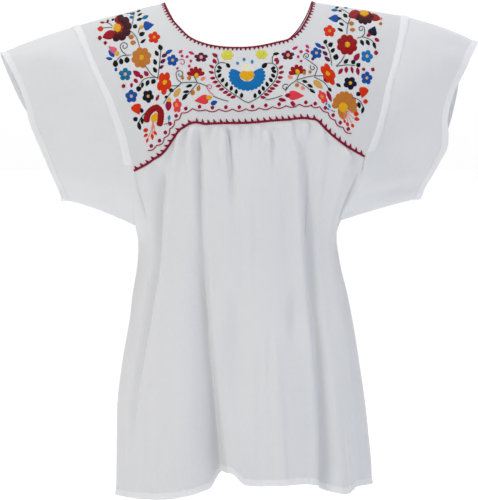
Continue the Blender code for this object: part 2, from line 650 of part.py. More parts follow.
def main():
    for old in list(bpy.data.objects):
        bpy.data.objects.remove(old)

    right_line, right_share = armhole(RIGHT_FRONT, RIGHT_FRONT_LOWER, RIGHT_BACK, RIGHT_BACK_LOWER)
    left_line, left_share = armhole(LEFT_FRONT, LEFT_FRONT_LOWER, LEFT_BACK, LEFT_BACK_LOWER)
    front_top = np.concatenate([LEFT_FRONT_LOWER[:0:-1], FRONT_TOP, RIGHT_FRONT_LOWER[1:]])
    back_top = np.concatenate([RIGHT_BACK_LOWER[:0:-1], BACK_TOP, LEFT_BACK_LOWER[1:]])
    grids = {
        "yoke": (YOKE, True),
        "front_panel": (body_grid(front_top, FRONT_GATHERS), False),
        "back_panel": (body_grid(back_top, BACK_GATHERS), False),
        "right_sleeve": (sleeve_grid(right_line, right_share, RIGHT_SLEEVE, RIGHT_SLEEVE_FOLDS), True),
        "left_sleeve": (sleeve_grid(left_line, left_share, LEFT_SLEEVE, LEFT_SLEEVE_FOLDS), True),
    }
    sheets = {}
    for name, (grid, closed) in grids.items():
        direction = normals(grid, closed)
        middle = grid.reshape(-1, 3).mean(axis=0)
        outward = np.einsum("ijk,ijk->ij", direction, grid - middle).sum()
        sheets[name] = [grid, closed, direction if outward > 0 else -direction]
    share_seams(sheets)

    edges = {
        "yoke": ("last row",),
        "front_panel": ("first row", "sides"),
        "back_panel": ("first row", "sides"),
        "right_sleeve": ("first row",),
        "left_sleeve": ("first row",),
    }
    shares = {"right_sleeve": right_share, "left_sleeve": left_share}
    yoke_face = None
    for name, (grid, closed, direction) in sheets.items():
        grid = trimmed(grid, closed, edges[name])
        raised = np.zeros(grid.shape[:2])
        if name.endswith("panel"):
            raised[-2:] = HEM_RAISE
        if name.endswith("sleeve"):
            raised[-2:] = HEM_RAISE
            raised[:2] = FOLD_RAISE * np.clip((FOLD_END - np.abs(shares[name])) / FOLD_FADE, 0, 1)
        face = wall(name, grid, direction, closed, raised, COTTON)
        if name == "yoke":
            yoke_face = face

    direction = sheets["yoke"][2]
    rim = [
        (-2.8 * MM, -1.2 * MM), (-2.5 * MM, 1.0 * MM), (-0.6 * MM, 1.7 * MM),
        (None, 1.3 * MM), (None, EDGING_GAP), (-0.6 * MM, EDGING_GAP),
    ]
    strip = [(0.1 * MM, EDGING_GAP), (0.1 * MM, 1.5 * MM), (None, 1.3 * MM), (None, EDGING_GAP)]
    columns = YOKE.shape[1]
    edging("neck_edging", yoke_face, direction, 0, 1, (0, columns, NECK_TEETH), True, rim)
    edging("front_yoke_edging", yoke_face, direction, -1, -1, (STARTS[1], STARTS[2], SEAM_TEETH), False, strip)
    edging("back_yoke_edging", yoke_face, direction, -1, -1, (STARTS[4], STARTS[5], SEAM_TEETH), False, strip)


main()
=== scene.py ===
"""Looks of a peasant blouse in white cotton, embroidered in flowers and edged with crimson crochet.

Metres, +Z up. The front faces -Y. Zero is the middle of the shoulder line, where the wearer holds the blouse.
The cloth is made again from the same named sizes as its solids, finer and thinner, and sewn over.
"""

import math

import bpy
import numpy as np
from bpy.props import FloatProperty, FloatVectorProperty, PointerProperty
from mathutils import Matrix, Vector


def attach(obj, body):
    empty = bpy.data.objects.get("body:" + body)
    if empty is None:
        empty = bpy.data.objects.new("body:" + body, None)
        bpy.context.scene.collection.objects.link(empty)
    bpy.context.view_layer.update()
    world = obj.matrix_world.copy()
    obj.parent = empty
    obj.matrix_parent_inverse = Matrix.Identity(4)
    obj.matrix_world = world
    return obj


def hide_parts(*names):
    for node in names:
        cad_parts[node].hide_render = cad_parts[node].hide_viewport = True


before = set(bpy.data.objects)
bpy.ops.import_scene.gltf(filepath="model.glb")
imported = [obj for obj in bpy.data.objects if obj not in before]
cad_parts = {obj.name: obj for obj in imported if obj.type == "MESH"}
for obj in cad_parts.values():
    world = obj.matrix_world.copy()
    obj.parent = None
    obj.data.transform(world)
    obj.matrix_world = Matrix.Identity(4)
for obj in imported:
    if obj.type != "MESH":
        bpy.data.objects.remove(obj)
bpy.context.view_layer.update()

bl_info = {
    "name": "Peasant Blouse",
    "version": (1, 0, 0),
    "blender": (4, 5, 0),
    "location": "3D View > Sidebar > Blouse",
    "description": "Makes an embroidered white cotton peasant blouse in a plain studio",
    "category": "Object",
}

MM = 0.001

# Cloth, hems and stitches, and the folds that lie on the sleeves along their seams. A fold ends at a share of the way
# down the armhole
WALL = 1.5 * MM
CLOTH_THICKNESS = 0.9 * MM
FOLD_EDGE = 0.6 * MM
HEM_WIDTH = 9.0 * MM
HEM_RAISE = 0.9 * MM
HEM_FLARE = 1.3 * MM
HEM_FLARE_WIDTH = 4.5 * MM
HEM_ROUNDING = 0.35 * MM
FOLD_WIDTH = 12.0 * MM
FOLD_RAISE = 1.2 * MM
FOLD_CROWN = 0.5 * MM
FOLD_END = 0.69
FOLD_FADE = 0.05
STITCH_LINE = 8.0 * MM
STITCH_SINK = 0.45 * MM
PUCKER_PITCH = 9.0 * MM
PUCKER_HEIGHT = 0.25 * MM

# How much the yoke falls back toward the armholes: everywhere, and more per metre of drop
SIDE_EASE = 0.13
SIDE_EASE_PER_DROP = 0.55
SIDE_EASE_POWER = 2.3
SIDE_EASE_AT = 0.2

# How far the front stands out over the bust, and down to where
BUST_FULLNESS = 4.0 * MM
BUST_LENGTH = 170.0 * MM

# Slope of the cloth from level, degrees, at each distance in mm from the shoulder line
FRONT_SLOPE = [(0, 2), (12, 24), (32, 44), (60, 55), (95, 62), (140, 70), (190, 80), (250, 90), (420, 90)]
BACK_SLOPE = [(0, 2), (12, 26), (32, 47), (60, 60), (95, 68), (140, 76), (190, 84), (250, 90), (420, 90)]

# Height of the shoulder line in mm at each x in mm
SHOULDER_LINE = [
    (-230, -36.4), (-215, -31.6), (-166, -18.6), (-104, -3.8), (0, 0), (104, -2.4), (155, -10), (190, -15),
    (232, -21.8),
]

# Neckline and yoke outline: x and height in mm, from the viewer's left to right or from the top down
FRONT_NECK = [
    (-104.5, -3.8), (-96.7, -21.6), (-83.4, -38.3), (-67.5, -53.3), (-48.1, -61.9), (-27.4, -66.2), (-1.4, -67.6),
    (27.4, -65.5), (50.8, -60.4), (71.7, -54), (83, -44.5), (91.6, -31.7), (99.1, -16.4), (102.7, -2.4),
]
BACK_NECK = [
    (-104.5, -3.8), (-95, -23), (-80, -43), (-58, -60), (-30, -68.5), (0, -70.5), (30, -68.5), (58, -60), (80, -43),
    (94, -23), (102.7, -2.4),
]
FRONT_SEAM = [
    (-142.8, -236.4), (-117.3, -221.8), (-95.1, -202.6), (-84, -185.5), (-73.1, -176.2), (-43.2, -172.8), (0, -171.6),
    (66.2, -167), (98, -166.2), (107.5, -169), (121, -183), (140.6, -198.7), (170.9, -216.8),
]
BACK_SEAM = [
    (-145, -232), (-118, -214), (-96, -194), (-82, -180), (-66, -173), (0, -171), (66, -172), (92, -177), (116, -191),
    (140, -206), (168, -220),
]
RIGHT_FRONT_ARMHOLE = [
    (-223.9, -34.4), (-210, -59.1), (-191.4, -101.4), (-167, -152.3), (-151.8, -197.4), (-142.8, -236.4),
]
RIGHT_BACK_ARMHOLE = [
    (-223.9, -34.4), (-212, -62), (-194, -106), (-171, -156), (-155, -200), (-145, -232),
]
LEFT_FRONT_ARMHOLE = [
    (226.6, -20.9), (221.4, -47.9), (212.8, -83.2), (200.8, -124.8), (186.8, -179.7), (170.9, -216.8),
]
LEFT_BACK_ARMHOLE = [
    (226.6, -20.9), (220.5, -52), (210, -92), (196, -138), (182, -185), (168, -220),
]

# Lowest point of each armhole: x, height, mm
RIGHT_UNDERARM = (-144.7, -314.4)
LEFT_UNDERARM = (134, -309.6)

# Rings of the body, mm: height, half width to the wearer's right, to the wearer's left, front depth, back depth
BODY_RINGS = [
    (-340, 141, 137, 117, 98), (-370, 142.5, 142, 118, 100), (-410, 149, 151, 121, 103), (-450, 154.5, 159, 125, 107),
    (-510, 164.5, 168.5, 131, 113), (-560, 170.5, 176, 136, 119), (-610, 171.5, 181.5, 141, 125),
    (-650, 171.5, 185.5, 144, 129), (-705, 171.5, 187, 147, 132),
]
RING_ROUNDNESS = 2.45

# Height of the hem in mm at each bearing in degrees from the front, wearer's right negative
HEM_LINE = [
    (-180, -690), (-140, -693), (-90, -697), (-58, -687), (-40, -682), (-29, -676), (-20.5, -669), (-17, -664),
    (-15.2, -654), (-13.8, -648), (-11, -645), (-7, -643.5), (-3, -644.5), (-1.2, -648.5), (0.6, -653.5),
    (2.5, -657.5), (6, -659.5), (11, -660), (25, -659), (38, -661.5), (42, -665.5), (48, -674), (53, -677.5),
    (64, -677), (90, -681), (140, -692), (180, -690),
]

# Folds of the body. Bearing in degrees at the top, middle and foot, height of top and foot in mm,
# depth in mm at top and foot (inward is positive) and half width in mm at top and foot
BODY_FOLDS = [
    (-28.6, -21.6, -9.5, -175, -700, 3.6, 24, 6, 21), (44, 46.6, 43.4, -178, -700, 5.5, 15, 8, 12),
    (-47, -55, -61.5, -225, -620, 5, 4, 7, 11), (-15, -9, -7, -180, -270, -3.5, -1, 7, 8),
    (-5, -3, -1, -215, -320, 2.5, 1, 6, 8), (23, 23, 23, -180, -226, -3, -1, 6, 7),
    (56, 60, 60, -190, -600, -10.5, -9, 13, 18), (38, 36, 33, -395, -480, 2.5, 2.5, 14, 16),
    (0, 2, 4, -440, -560, 2, 3, 26, 30), (22, 22, 21, -430, -700, -1, -6, 30, 34),
    (-34, -33, -32, -380, -700, -2, -9, 28, 34), (50, 52, 53, -440, -700, -1, -5, 16, 15),
    (64, 64, 65, -480, -700, 1, 6, 12, 13), (-66, -67, -70, -420, -700, 1, 5, 14, 15),
    (80, 81, 82, -380, -700, -1, -2.5, 14, 16), (-84, -84, -86, -420, -700, 1, -2.5, 14, 18),
    (98, 100, 102, -360, -700, 2, 10, 12, 16), (128, 127, 126, -240, -700, -2, -9, 14, 22),
    (149, 149, 150, -190, -700, 3, 16, 7, 16), (168, 170, 173, -200, -700, -2, -9, 14, 24),
    (-166, -164, -162, -185, -700, 3, 17, 7, 17), (-145, -142, -139, -230, -700, -2, -9, 14, 22),
    (-122, -120, -117, -260, -700, 3, 12, 9, 16), (-103, -102, -101, -380, -700, -1, -6, 14, 18),
]

# Finer creases of the body, in the columns of BODY_FOLDS
FINE_FOLDS = [
    (-45.5, -55, -61.5, -190, -640, 3, 3.4, 4.5, 7), (-40, -48, -54, -190, -560, -2.6, -2.4, 6, 12),
    (-52, -60, -66, -215, -600, -2, -2, 5, 10), (-33, -28, -20, -172, -420, -6.5, -1.6, 4.4, 8),
    (-28.4, -21, -5.6, -176, -700, 2, 4, 3.6, 9), (-24, -17, -1, -180, -700, -1.6, -4.5, 5, 9),
    (-12.5, -9.5, -6.5, -168, -262, -8, -1.6, 3.6, 4.5), (-8.6, -5.6, -2.6, -170, -300, 5.6, 1.8, 3.8, 5),
    (19, 20.5, 21.5, -167, -240, -8, -1.6, 3.4, 4), (23.5, 24, 24, -170, -234, 4.6, 1.4, 3.2, 4),
    (0, -13.5, -12.5, -430, -700, 1, 4, 16, 20), (-2, 0, 2, -390, -600, 5.5, 5, 15, 20),
    (36, 34.5, 32.5, -390, -490, 3.6, 3.2, 8, 10), (69, 70, 71, -400, -700, 4, 13, 15, 24),
    (37, 40.5, 38.5, -178, -700, -1.8, -3.5, 5, 8), (41.5, 44, 41.4, -176, -700, 1.6, 1, 4, 6),
    (49, 51, 48.5, -176, -640, -2.2, -1.5, 5, 8), (54, 53, 51, -196, -330, 3.4, 1.4, 3.8, 6),
    (58, 57, 56, -200, -360, -3, -1.4, 4, 7), (73, 75, 77, -205, -330, 6, 3, 8, 12),
    (-70, -72, -75, -215, -330, 4, 2, 6, 10), (21, 22, 23, -450, -690, -1.8, -3.6, 5, 6),
    (18, 18, 18.5, -440, -530, 1.8, 1.8, 3.5, 4), (6, 7, 8, -250, -420, -1.2, -1.6, 4, 6),
    (30, 32, 33, -250, -470, 1.2, 2.6, 8, 12), (20, 20, 20.5, -520, -700, -1.2, -2, 3.5, 4),
    (12, 12, 11, -470, -640, 1.4, 1.4, 4, 5), (-50, -48, -46, -520, -700, 1.8, 3, 8, 10),
    (58, 58, 59, -480, -700, 2.2, 4, 7, 9),
]

# Gathers under the yoke: bearing in degrees, length in mm, height in mm (outward is positive) before the depth
# that all share
FRONT_GATHERS = [
    (-54.5, 34, 2), (-51, 46, -1.8), (-47.5, 40, 2.2), (-43.6, 62, -2), (-40.2, 44, 2), (-36.6, 38, -1.6),
    (-32.4, 66, 2.4), (-25.6, 50, 2.2), (-21.8, 40, -1.6), (-18, 34, 1.6), (-9.4, 44, -2), (-1.6, 38, 1.8),
    (2.6, 40, -1.4), (6.8, 30, 1.4), (11, 44, -1.8), (15, 38, 1.8), (19, 44, -1.8), (27, 42, -1.8), (31, 34, 1.6),
    (35.4, 52, 2.2), (38.6, 46, -1.8), (43.6, 54, 2.4), (47, 40, -1.8), (50.6, 48, 2.2), (54.2, 42, -2),
    (57.6, 40, 1.8), (61.2, 36, -1.6), (64.6, 30, 1.6),
]
BACK_GATHERS = [
    (-125, 36, 1.8), (-131, 44, -1.8), (-137, 40, 2), (-143, 50, -1.8), (-149, 44, 2), (-155, 40, -1.6),
    (-161, 52, 2), (-168, 46, -1.8), (-174, 40, 1.8), (179, 44, -1.8), (172, 42, 1.8), (165, 50, -1.8), (158, 44, 2),
    (152, 46, -1.6), (145, 40, 1.8), (138, 48, -1.8), (131, 42, 2), (124, 36, -1.6),
]
GATHER_HALF_WIDTH = 4.2 * MM
GATHER_RISE = 9.0 * MM
GATHER_DEPTH = 2.0

# Lengths over which folds settle under the seam, and over which each one starts and ends; a fold whose foot lies as
# low as THROUGH_HEM, in mm, runs out through the hem
SETTLE_LENGTH = 12.0 * MM
FOLD_START = 25.0 * MM
FOLD_STOP = 40.0 * MM
THROUGH_HEM = -690

# Sleeves, mm. The ends of the cuff and of the ring halfway along, seen from the front, and their front and back
# depths. The cut is how far in the cuff's edge lies at each share of the way down, or out where it is negative
RIGHT_SLEEVE = {
    "middle_top": (-281, -52.5), "middle_bottom": (-206, -288.5), "middle_depth": (60, 56),
    "cuff_top": (-335.5, -74), "cuff_bottom": (-254.5, -277), "cuff_depth": (46, 50),
    "front_cut": [(0, 0), (0.14, 7), (0.26, 12.5), (0.38, 13.5), (0.5, 7.5), (0.75, 8.5), (0.88, 7), (1, 2.5)],
    "back_cut": [(0, 0), (0.15, -4), (0.35, -5), (0.5, 2.5), (0.75, 8.5), (0.88, 7), (1, 2.5)],
}
LEFT_SLEEVE = {
    "middle_top": (284, -37), "middle_bottom": (197, -290), "middle_depth": (60, 56),
    "cuff_top": (336, -59), "cuff_bottom": (256, -275), "cuff_depth": (46, 50),
    "front_cut": [
        (0, 0), (0.28, 9), (0.38, 13), (0.5, 7.5), (0.57, -3.5), (0.62, -7.5), (0.68, -5), (0.74, -2), (0.8, 0),
        (0.87, 1), (1, 1),
    ],
    "back_cut": [
        (0, 0), (0.28, 3), (0.4, -4), (0.5, -9), (0.6, -10), (0.66, -6.5), (0.72, -2.5), (0.8, 0.5), (0.88, 1), (1, 1),
    ],
}

# Soft hollows in a sleeve: share of the way round from the shoulder (back is negative), share of the length,
# depth in mm, half width round and half length along in shares
RIGHT_SLEEVE_FOLDS = [
    (0.22, 0.45, 4, 0.07, 0.40), (0.47, 0.35, -2.5, 0.09, 0.40), (0.72, 0.60, 4.5, 0.07, 0.45),
    (0.86, 0.40, 3, 0.05, 0.35), (-0.30, 0.50, 4, 0.08, 0.50), (-0.62, 0.50, 5, 0.08, 0.50),
]
LEFT_SLEEVE_FOLDS = [
    (0.18, 0.70, 3, 0.06, 0.35), (0.40, 0.30, -2.5, 0.10, 0.40), (0.66, 0.55, 4, 0.06, 0.45),
    (0.80, 0.62, 4.5, 0.05, 0.40), (-0.32, 0.50, 4, 0.08, 0.50), (-0.60, 0.50, 5, 0.08, 0.50),
]

# Columns and rows of each piece. Rows of a hem or fold lie at these distances in mm from the piece's edge
FRONT_SEAM_COLUMNS = 260
BACK_SEAM_COLUMNS = 130
ARMHOLE_COLUMNS = 30
UNDERARM_COLUMNS = 24
YOKE_ROWS = np.linspace(0, 1, 37)
BODY_ROWS = np.linspace(0, 1, 100) ** 1.25
HEM_ROWS = [12, 10.4, 9.6, 9, 8.4, 8, 7.4, 5.6, 4.2, 2.6, 1.2, 0]
FOLD_ROWS = [0, 0.5, 1.4, 3, 5, 7, 9, 10.4, 11.4, 12, 12.6, 13.6]
BODY_END = 14.0 * MM
SLEEVE_ROWS = 44


def smooth(rows, at):
    """Value at each position, on a soft curve through table rows of position and value."""
    place, value = np.array(rows, float).T
    at = np.clip(np.asarray(at, float), place[0], place[-1])
    step = np.diff(place)
    rise = np.diff(value) / step
    bend = (rise[1:] * step[:-1] + rise[:-1] * step[1:]) / (step[1:] + step[:-1])
    bend[rise[1:] * rise[:-1] <= 0] = 0.0
    slope = np.concatenate(([rise[0]], bend, [rise[-1]]))
    i = np.clip(np.searchsorted(place, at) - 1, 0, len(step) - 1)
    t = (at - place[i]) / step[i]
    start = (1 + 2 * t) * (1 - t) ** 2 * value[i] + t * (1 - t) ** 2 * step[i] * slope[i]
    end = t * t * (3 - 2 * t) * value[i + 1] + t * t * (t - 1) * step[i] * slope[i + 1]
    return start + end


def unit(vectors):
    """Vectors of length one."""
    return vectors / np.linalg.norm(vectors, axis=-1, keepdims=True)


def run_length(line):
    """Distance along a line at each of its points."""
    return np.concatenate(([0.0], np.cumsum(np.linalg.norm(np.diff(line, axis=0), axis=1))))


# The yoke's form

LENGTHS = np.arange(421) * MM


def profile(rows):
    """Reach outward and drop of the cloth at each millimetre from the shoulder line."""
    angle = np.radians(smooth(rows, LENGTHS / MM))
    reach = np.concatenate(([0.0], np.cumsum(np.cos(angle[:-1]) * MM)))
    drop = np.concatenate(([0.0], np.cumsum(np.sin(angle[:-1]) * MM)))
    return reach, drop


PROFILES = {1: profile(FRONT_SLOPE), -1: profile(BACK_SLOPE)}


def shoulder_height(x):
    """Height of the shoulder line."""
    return smooth(SHOULDER_LINE, x / MM) * MM


def along_cloth(x, z, side):
    """Distance on the cloth from the shoulder line to a height, front positive."""
    return side * np.interp(shoulder_height(x) - z, PROFILES[side][1], LENGTHS)


def on_shoulders(x, along):
    """Points of the yoke's form, from x and the distance on the cloth from the shoulder line."""
    side = np.where(along >= 0, 1, -1)
    length = np.abs(along)
    reach = np.where(side > 0, *(np.interp(length, LENGTHS, PROFILES[s][0]) for s in (1, -1)))
    drop = np.where(side > 0, *(np.interp(length, LENGTHS, PROFILES[s][1]) for s in (1, -1)))
    aside = (np.abs(x) / SIDE_EASE_AT) ** SIDE_EASE_POWER
    reach = reach * (1 - (SIDE_EASE + SIDE_EASE_PER_DROP * drop) * aside)
    return np.stack([x, -side * reach, shoulder_height(x) - drop], axis=-1)


def yoke_face(x, along, lift):
    """Points above the yoke's outer face, from flat places on the cloth."""
    step = 1.5 * MM
    across = on_shoulders(x + step, along) - on_shoulders(x - step, along)
    down = on_shoulders(x, along + step) - on_shoulders(x, along - step)
    outward = unit(np.cross(down, across))
    return on_shoulders(x, along) + outward * (WALL + lift)[..., None]


def front_face(x, z, lift):
    """Points above the yoke's outer face, from where they are seen from the front."""
    return yoke_face(x, along_cloth(x, z, 1), lift)


def flat_bearings(rows, side):
    """Table rows of x and height as bearing and radius on the flat cloth, round the middle of the neck."""
    x, z = np.array(rows, float).T * MM
    along = along_cloth(x, z, side)
    bearing = np.mod(np.arctan2(along, x), 2 * math.pi)
    bearing = np.where((side < 0) & (bearing < 1e-6), 2 * math.pi, bearing)
    table = np.stack([bearing, np.hypot(x, along)], axis=1)
    return table[np.argsort(table[:, 0])]


def round_table(front, back):
    """One closed table of bearing and radius from a front and a back half."""
    table = np.concatenate([front, back[1:-1]])
    turn = np.array([2 * math.pi, 0])
    return np.concatenate([table[-3:] - turn, table, table[:3] + turn])


NECK_TABLE = round_table(flat_bearings(FRONT_NECK, 1), flat_bearings(BACK_NECK, -1))

# The yoke's outer edge from the wearer's left shoulder round the front: table, face, columns
YOKE_SPANS = [
    (LEFT_FRONT_ARMHOLE, 1, ARMHOLE_COLUMNS),
    (FRONT_SEAM, 1, FRONT_SEAM_COLUMNS),
    (RIGHT_FRONT_ARMHOLE, 1, ARMHOLE_COLUMNS),
    (RIGHT_BACK_ARMHOLE, -1, ARMHOLE_COLUMNS),
    (BACK_SEAM, -1, BACK_SEAM_COLUMNS),
    (LEFT_BACK_ARMHOLE, -1, ARMHOLE_COLUMNS),
]
EDGE_SAMPLES = 600


def even(points, count):
    """Points spaced evenly along a dense line, both ends kept."""
    length = run_length(points)
    at = np.linspace(0, length[-1], count + 1)
    return np.stack([np.interp(at, length, column) for column in points.T], axis=-1)


def flat_round(bearing, radius):
    """Flat places on the cloth from a bearing and radius round the middle of the neck."""
    return np.stack([radius * np.cos(bearing), radius * np.sin(bearing)], axis=-1)


def yoke_edge():
    """Flat points of the yoke's outer edge, and the number of the column where each span starts."""
    points = []
    starts = [0]
    for rows, side, count in YOKE_SPANS:
        table = flat_bearings(rows, side)
        bearing = np.linspace(table[0, 0], table[-1, 0], EDGE_SAMPLES)
        points.append(even(flat_round(bearing, smooth(table, bearing)), count)[:-1])
        starts.append(starts[-1] + count)
    return np.concatenate(points), starts


EDGE, STARTS = yoke_edge()


def neck_at(bearing):
    """Flat places on the neckline."""
    return flat_round(bearing, smooth(NECK_TABLE, np.mod(bearing, 2 * math.pi)))


def yoke_grid():
    """Rows from the neckline out to the seams, closed round the neck."""
    neck = neck_at(np.arctan2(EDGE[:, 1], EDGE[:, 0]))
    flat = np.stack([neck + (EDGE - neck) * share for share in YOKE_ROWS])
    return on_shoulders(flat[..., 0], flat[..., 1])


YOKE = yoke_grid()


def columns_of(span):
    """Columns of the yoke's outer edge in a span, both ends kept."""
    return np.arange(STARTS[span], STARTS[span + 1] + 1) % len(EDGE)


# Armholes

def underarm(corner, lowest):
    """A quarter turn from a corner of the yoke down to the armhole's lowest point."""
    x, z = lowest[0] * MM, lowest[1] * MM
    turn = np.linspace(0, math.pi / 2, UNDERARM_COLUMNS + 1)
    ease = np.sin(turn) ** 1.5
    return np.stack([
        corner[0] + (x - corner[0]) * ease,
        corner[1] * np.cos(turn),
        corner[2] + (z - corner[2]) * np.sin(turn),
    ], axis=-1)


# Lines of the yoke's edge; the four beside the sleeves run down from the shoulder
LEFT_FRONT, FRONT_TOP, RIGHT_FRONT, RIGHT_BACK, BACK_TOP, LEFT_BACK = (
    YOKE[-1][columns_of(span)] for span in range(len(YOKE_SPANS))
)
RIGHT_FRONT, LEFT_BACK = RIGHT_FRONT[::-1], LEFT_BACK[::-1]
RIGHT_FRONT_LOWER = underarm(RIGHT_FRONT[-1], RIGHT_UNDERARM)
RIGHT_BACK_LOWER = underarm(RIGHT_BACK[-1], RIGHT_UNDERARM)
LEFT_FRONT_LOWER = underarm(LEFT_FRONT[-1], LEFT_UNDERARM)
LEFT_BACK_LOWER = underarm(LEFT_BACK[-1], LEFT_UNDERARM)


def armhole(front, front_lower, back, back_lower):
    """Closed line from the shoulder down the front and up the back, and each point's share of the way down.

    The share is 0 at the shoulder and 1 under the arm, and negative on the back.
    """
    sides = []
    for upper, lower in ((front, front_lower), (back, back_lower)):
        line = np.concatenate([upper, lower[1:]])
        length = run_length(line)
        sides.append((line, length / length[-1]))
    points = np.concatenate([sides[0][0], sides[1][0][-2:0:-1]])
    share = np.concatenate([sides[0][1], -sides[1][1][-2:0:-1]])
    return points, share


# Body

def bump(distance, half_width):
    """Soft hill, one at its crest."""
    return np.exp(-(distance / half_width) ** 2)


def turned(angle):
    """Angle in degrees brought to within half a turn."""
    return (angle + 180) % 360 - 180


def folds_at(bearing, radius, z):
    """How far the folds move the cloth inward at a bearing in degrees."""
    moved = np.zeros_like(z)
    for top, middle, foot, z_top, z_foot, deep_top, deep_foot, wide_top, wide_foot in BODY_FOLDS + FINE_FOLDS:
        t = np.clip((z_top * MM - z) / ((z_top - z_foot) * MM), 0, 1)
        line = top * (1 - t) * (1 - 2 * t) + middle * 4 * t * (1 - t) + foot * t * (2 * t - 1)
        depth = (deep_top + (deep_foot - deep_top) * t) * MM
        width = (wide_top + (wide_foot - wide_top) * t) * MM
        start = np.clip((z_top * MM - z) / FOLD_START, 0, 1)
        end = 1.0 if z_foot <= THROUGH_HEM else np.clip((z - z_foot * MM) / FOLD_STOP, 0, 1)
        moved = moved + depth * start * end * bump(np.radians(turned(bearing - line)) * radius, width)
    return moved


def gathers_at(bearing, radius, below, table):
    """How far the gathers lift the cloth outward at a distance below the seam."""
    lifted = np.zeros_like(below)
    for place, length, height in table:
        start = np.clip(below / GATHER_RISE, 0, 1)
        fade = np.clip(1 - below / (length * MM), 0, 1) ** 1.3
        across = np.radians(turned(bearing - place)) * radius
        lifted = lifted + GATHER_DEPTH * height * MM * start * fade * bump(across, GATHER_HALF_WIDTH)
    return lifted


def ring_radius(direction, ring):
    """Radius of a body ring in a direction, a soft oval."""
    _, right, left, front, back = ring
    half_width = (right if direction[0] < 0 else left) * MM
    depth = (front if direction[1] < 0 else back) * MM
    across = abs(direction[0]) / half_width
    deep = abs(direction[1]) / depth
    return (across**RING_ROUNDNESS + deep**RING_ROUNDNESS) ** (-1 / RING_ROUNDNESS)


def body_column(top, gathers):
    """Points of the body from a seam point down to the hem."""
    radius = math.hypot(top[0], top[1])
    direction = top[:2] / radius
    bearing = math.degrees(math.atan2(direction[0], -direction[1]))
    hem = float(smooth(HEM_LINE, bearing)) * MM
    z = top[2] + (hem + BODY_END - top[2]) * BODY_ROWS
    z = np.concatenate([z, hem + np.array(HEM_ROWS) * MM])
    rows = [(ring[0] * MM, ring_radius(direction, ring)) for ring in BODY_RINGS[::-1]]
    form = smooth([*rows, (top[2], radius)], z)
    below = top[2] - z
    bust = np.clip(below / BUST_LENGTH, 0, 1)
    form = form + BUST_FULLNESS * 4 * bust * (1 - bust) * max(-direction[1], 0) ** 2
    settle = np.clip(below / SETTLE_LENGTH, 0, 1)
    form = form - folds_at(bearing, form, z) * settle + gathers_at(bearing, form, below, gathers)
    return np.stack([direction[0] * form, direction[1] * form, z], axis=-1)


def body_grid(top_line, gathers):
    """Rows from the top seam down to the hem."""
    return np.stack([body_column(point, gathers) for point in top_line], axis=1)


# Sleeves

def sleeve_ring(share, top, bottom, depth, cuts):
    """A ring of the sleeve, from its top and bottom seen from the front, and its front and back depth and cut."""
    turn = np.abs(share) * math.pi
    down = (1 - np.cos(turn)) / 2
    side = np.where(share >= 0, 1, -1)
    deep = np.where(share >= 0, depth[0], depth[1]) * MM
    top = np.array(top) * MM
    bottom = np.array(bottom) * MM
    out = math.copysign(1.0, top[0])
    cut = np.where(share >= 0, smooth(cuts[0], np.abs(share)), smooth(cuts[1], np.abs(share))) * MM * out
    x = top[0] + (bottom[0] - top[0]) * down - cut
    z = top[1] + (bottom[1] - top[1]) * down
    return np.stack([x, -side * deep * np.sin(turn) ** 0.85, z], axis=-1)


def sleeve_grid(line, share, shape, folds):
    """Rows from the armhole out to the cuff, closed round the arm."""
    straight = [(0, 0), (1, 0)]
    middle, cuff = (
        sleeve_ring(share, *(shape[f"{ring}_{part}"] for part in ("top", "bottom", "depth")), cuts)
        for ring, cuts in (("middle", (straight, straight)), ("cuff", (shape["front_cut"], shape["back_cut"])))
    )
    length = np.linalg.norm(middle - line, axis=1) + np.linalg.norm(cuff - middle, axis=1)
    rows = [np.full_like(length, row * MM) for row in FOLD_ROWS]
    body = length - (HEM_ROWS[0] + FOLD_ROWS[-1]) * MM
    rows += [FOLD_ROWS[-1] * MM + body * t for t in np.linspace(0, 1, SLEEVE_ROWS + 1)[1:-1]]
    rows += [length - row * MM for row in HEM_ROWS]
    grid = []
    for row in rows:
        t = (row / length)[:, None]
        grid.append(line * (1 - t) * (1 - 2 * t) + middle * 4 * t * (1 - t) + cuff * t * (2 * t - 1))
    grid = np.stack(grid)
    normal = normals(grid, True)
    t = np.stack([row / length for row in rows])
    for place, along, depth, wide, long in folds:
        hill = bump(share - place, wide) * bump(t - along, long) * np.clip(t / 0.2, 0, 1)
        grid = grid - normal * (depth * MM * hill)[..., None]
    return grid


# Sheets of cloth

def normals(grid, closed):
    """Outward direction at each point of a sheet, away from the inside of the blouse."""
    down = np.gradient(grid, axis=0)
    if closed:
        across = np.roll(grid, -1, axis=1) - np.roll(grid, 1, axis=1)
    else:
        across = np.gradient(grid, axis=1)
    return unit(np.cross(across, down))


def facing(grid, closed):
    """Directions out of the blouse at each point of a sheet."""
    direction = normals(grid, closed)
    middle = grid.reshape(-1, 3).mean(axis=0)
    outward = np.einsum("ijk,ijk->ij", direction, grid - middle).sum()
    return direction if outward > 0 else -direction


def seam_key(point):
    """Where a seam point is, to a hundredth of a millimetre."""
    return tuple(np.round(point / (0.01 * MM)).astype(int))


def share_seams(sheets):
    """Give points that meet at a seam one direction, so that the sheets meet there."""
    total = {}
    pairs = {}
    for name, (grid, closed, direction) in sheets.items():
        rows, columns = grid.shape[:2]
        pairs[name] = [(r, c) for r in (0, rows - 1) for c in range(columns)]
        if not closed:
            pairs[name] += [(r, c) for c in (0, columns - 1) for r in range(1, rows - 1)]
        for pair in pairs[name]:
            key = seam_key(grid[pair])
            total[key] = total.get(key, 0) + direction[pair]
    for name, (grid, _, direction) in sheets.items():
        for pair in pairs[name]:
            direction[pair] = unit(total[seam_key(grid[pair])])


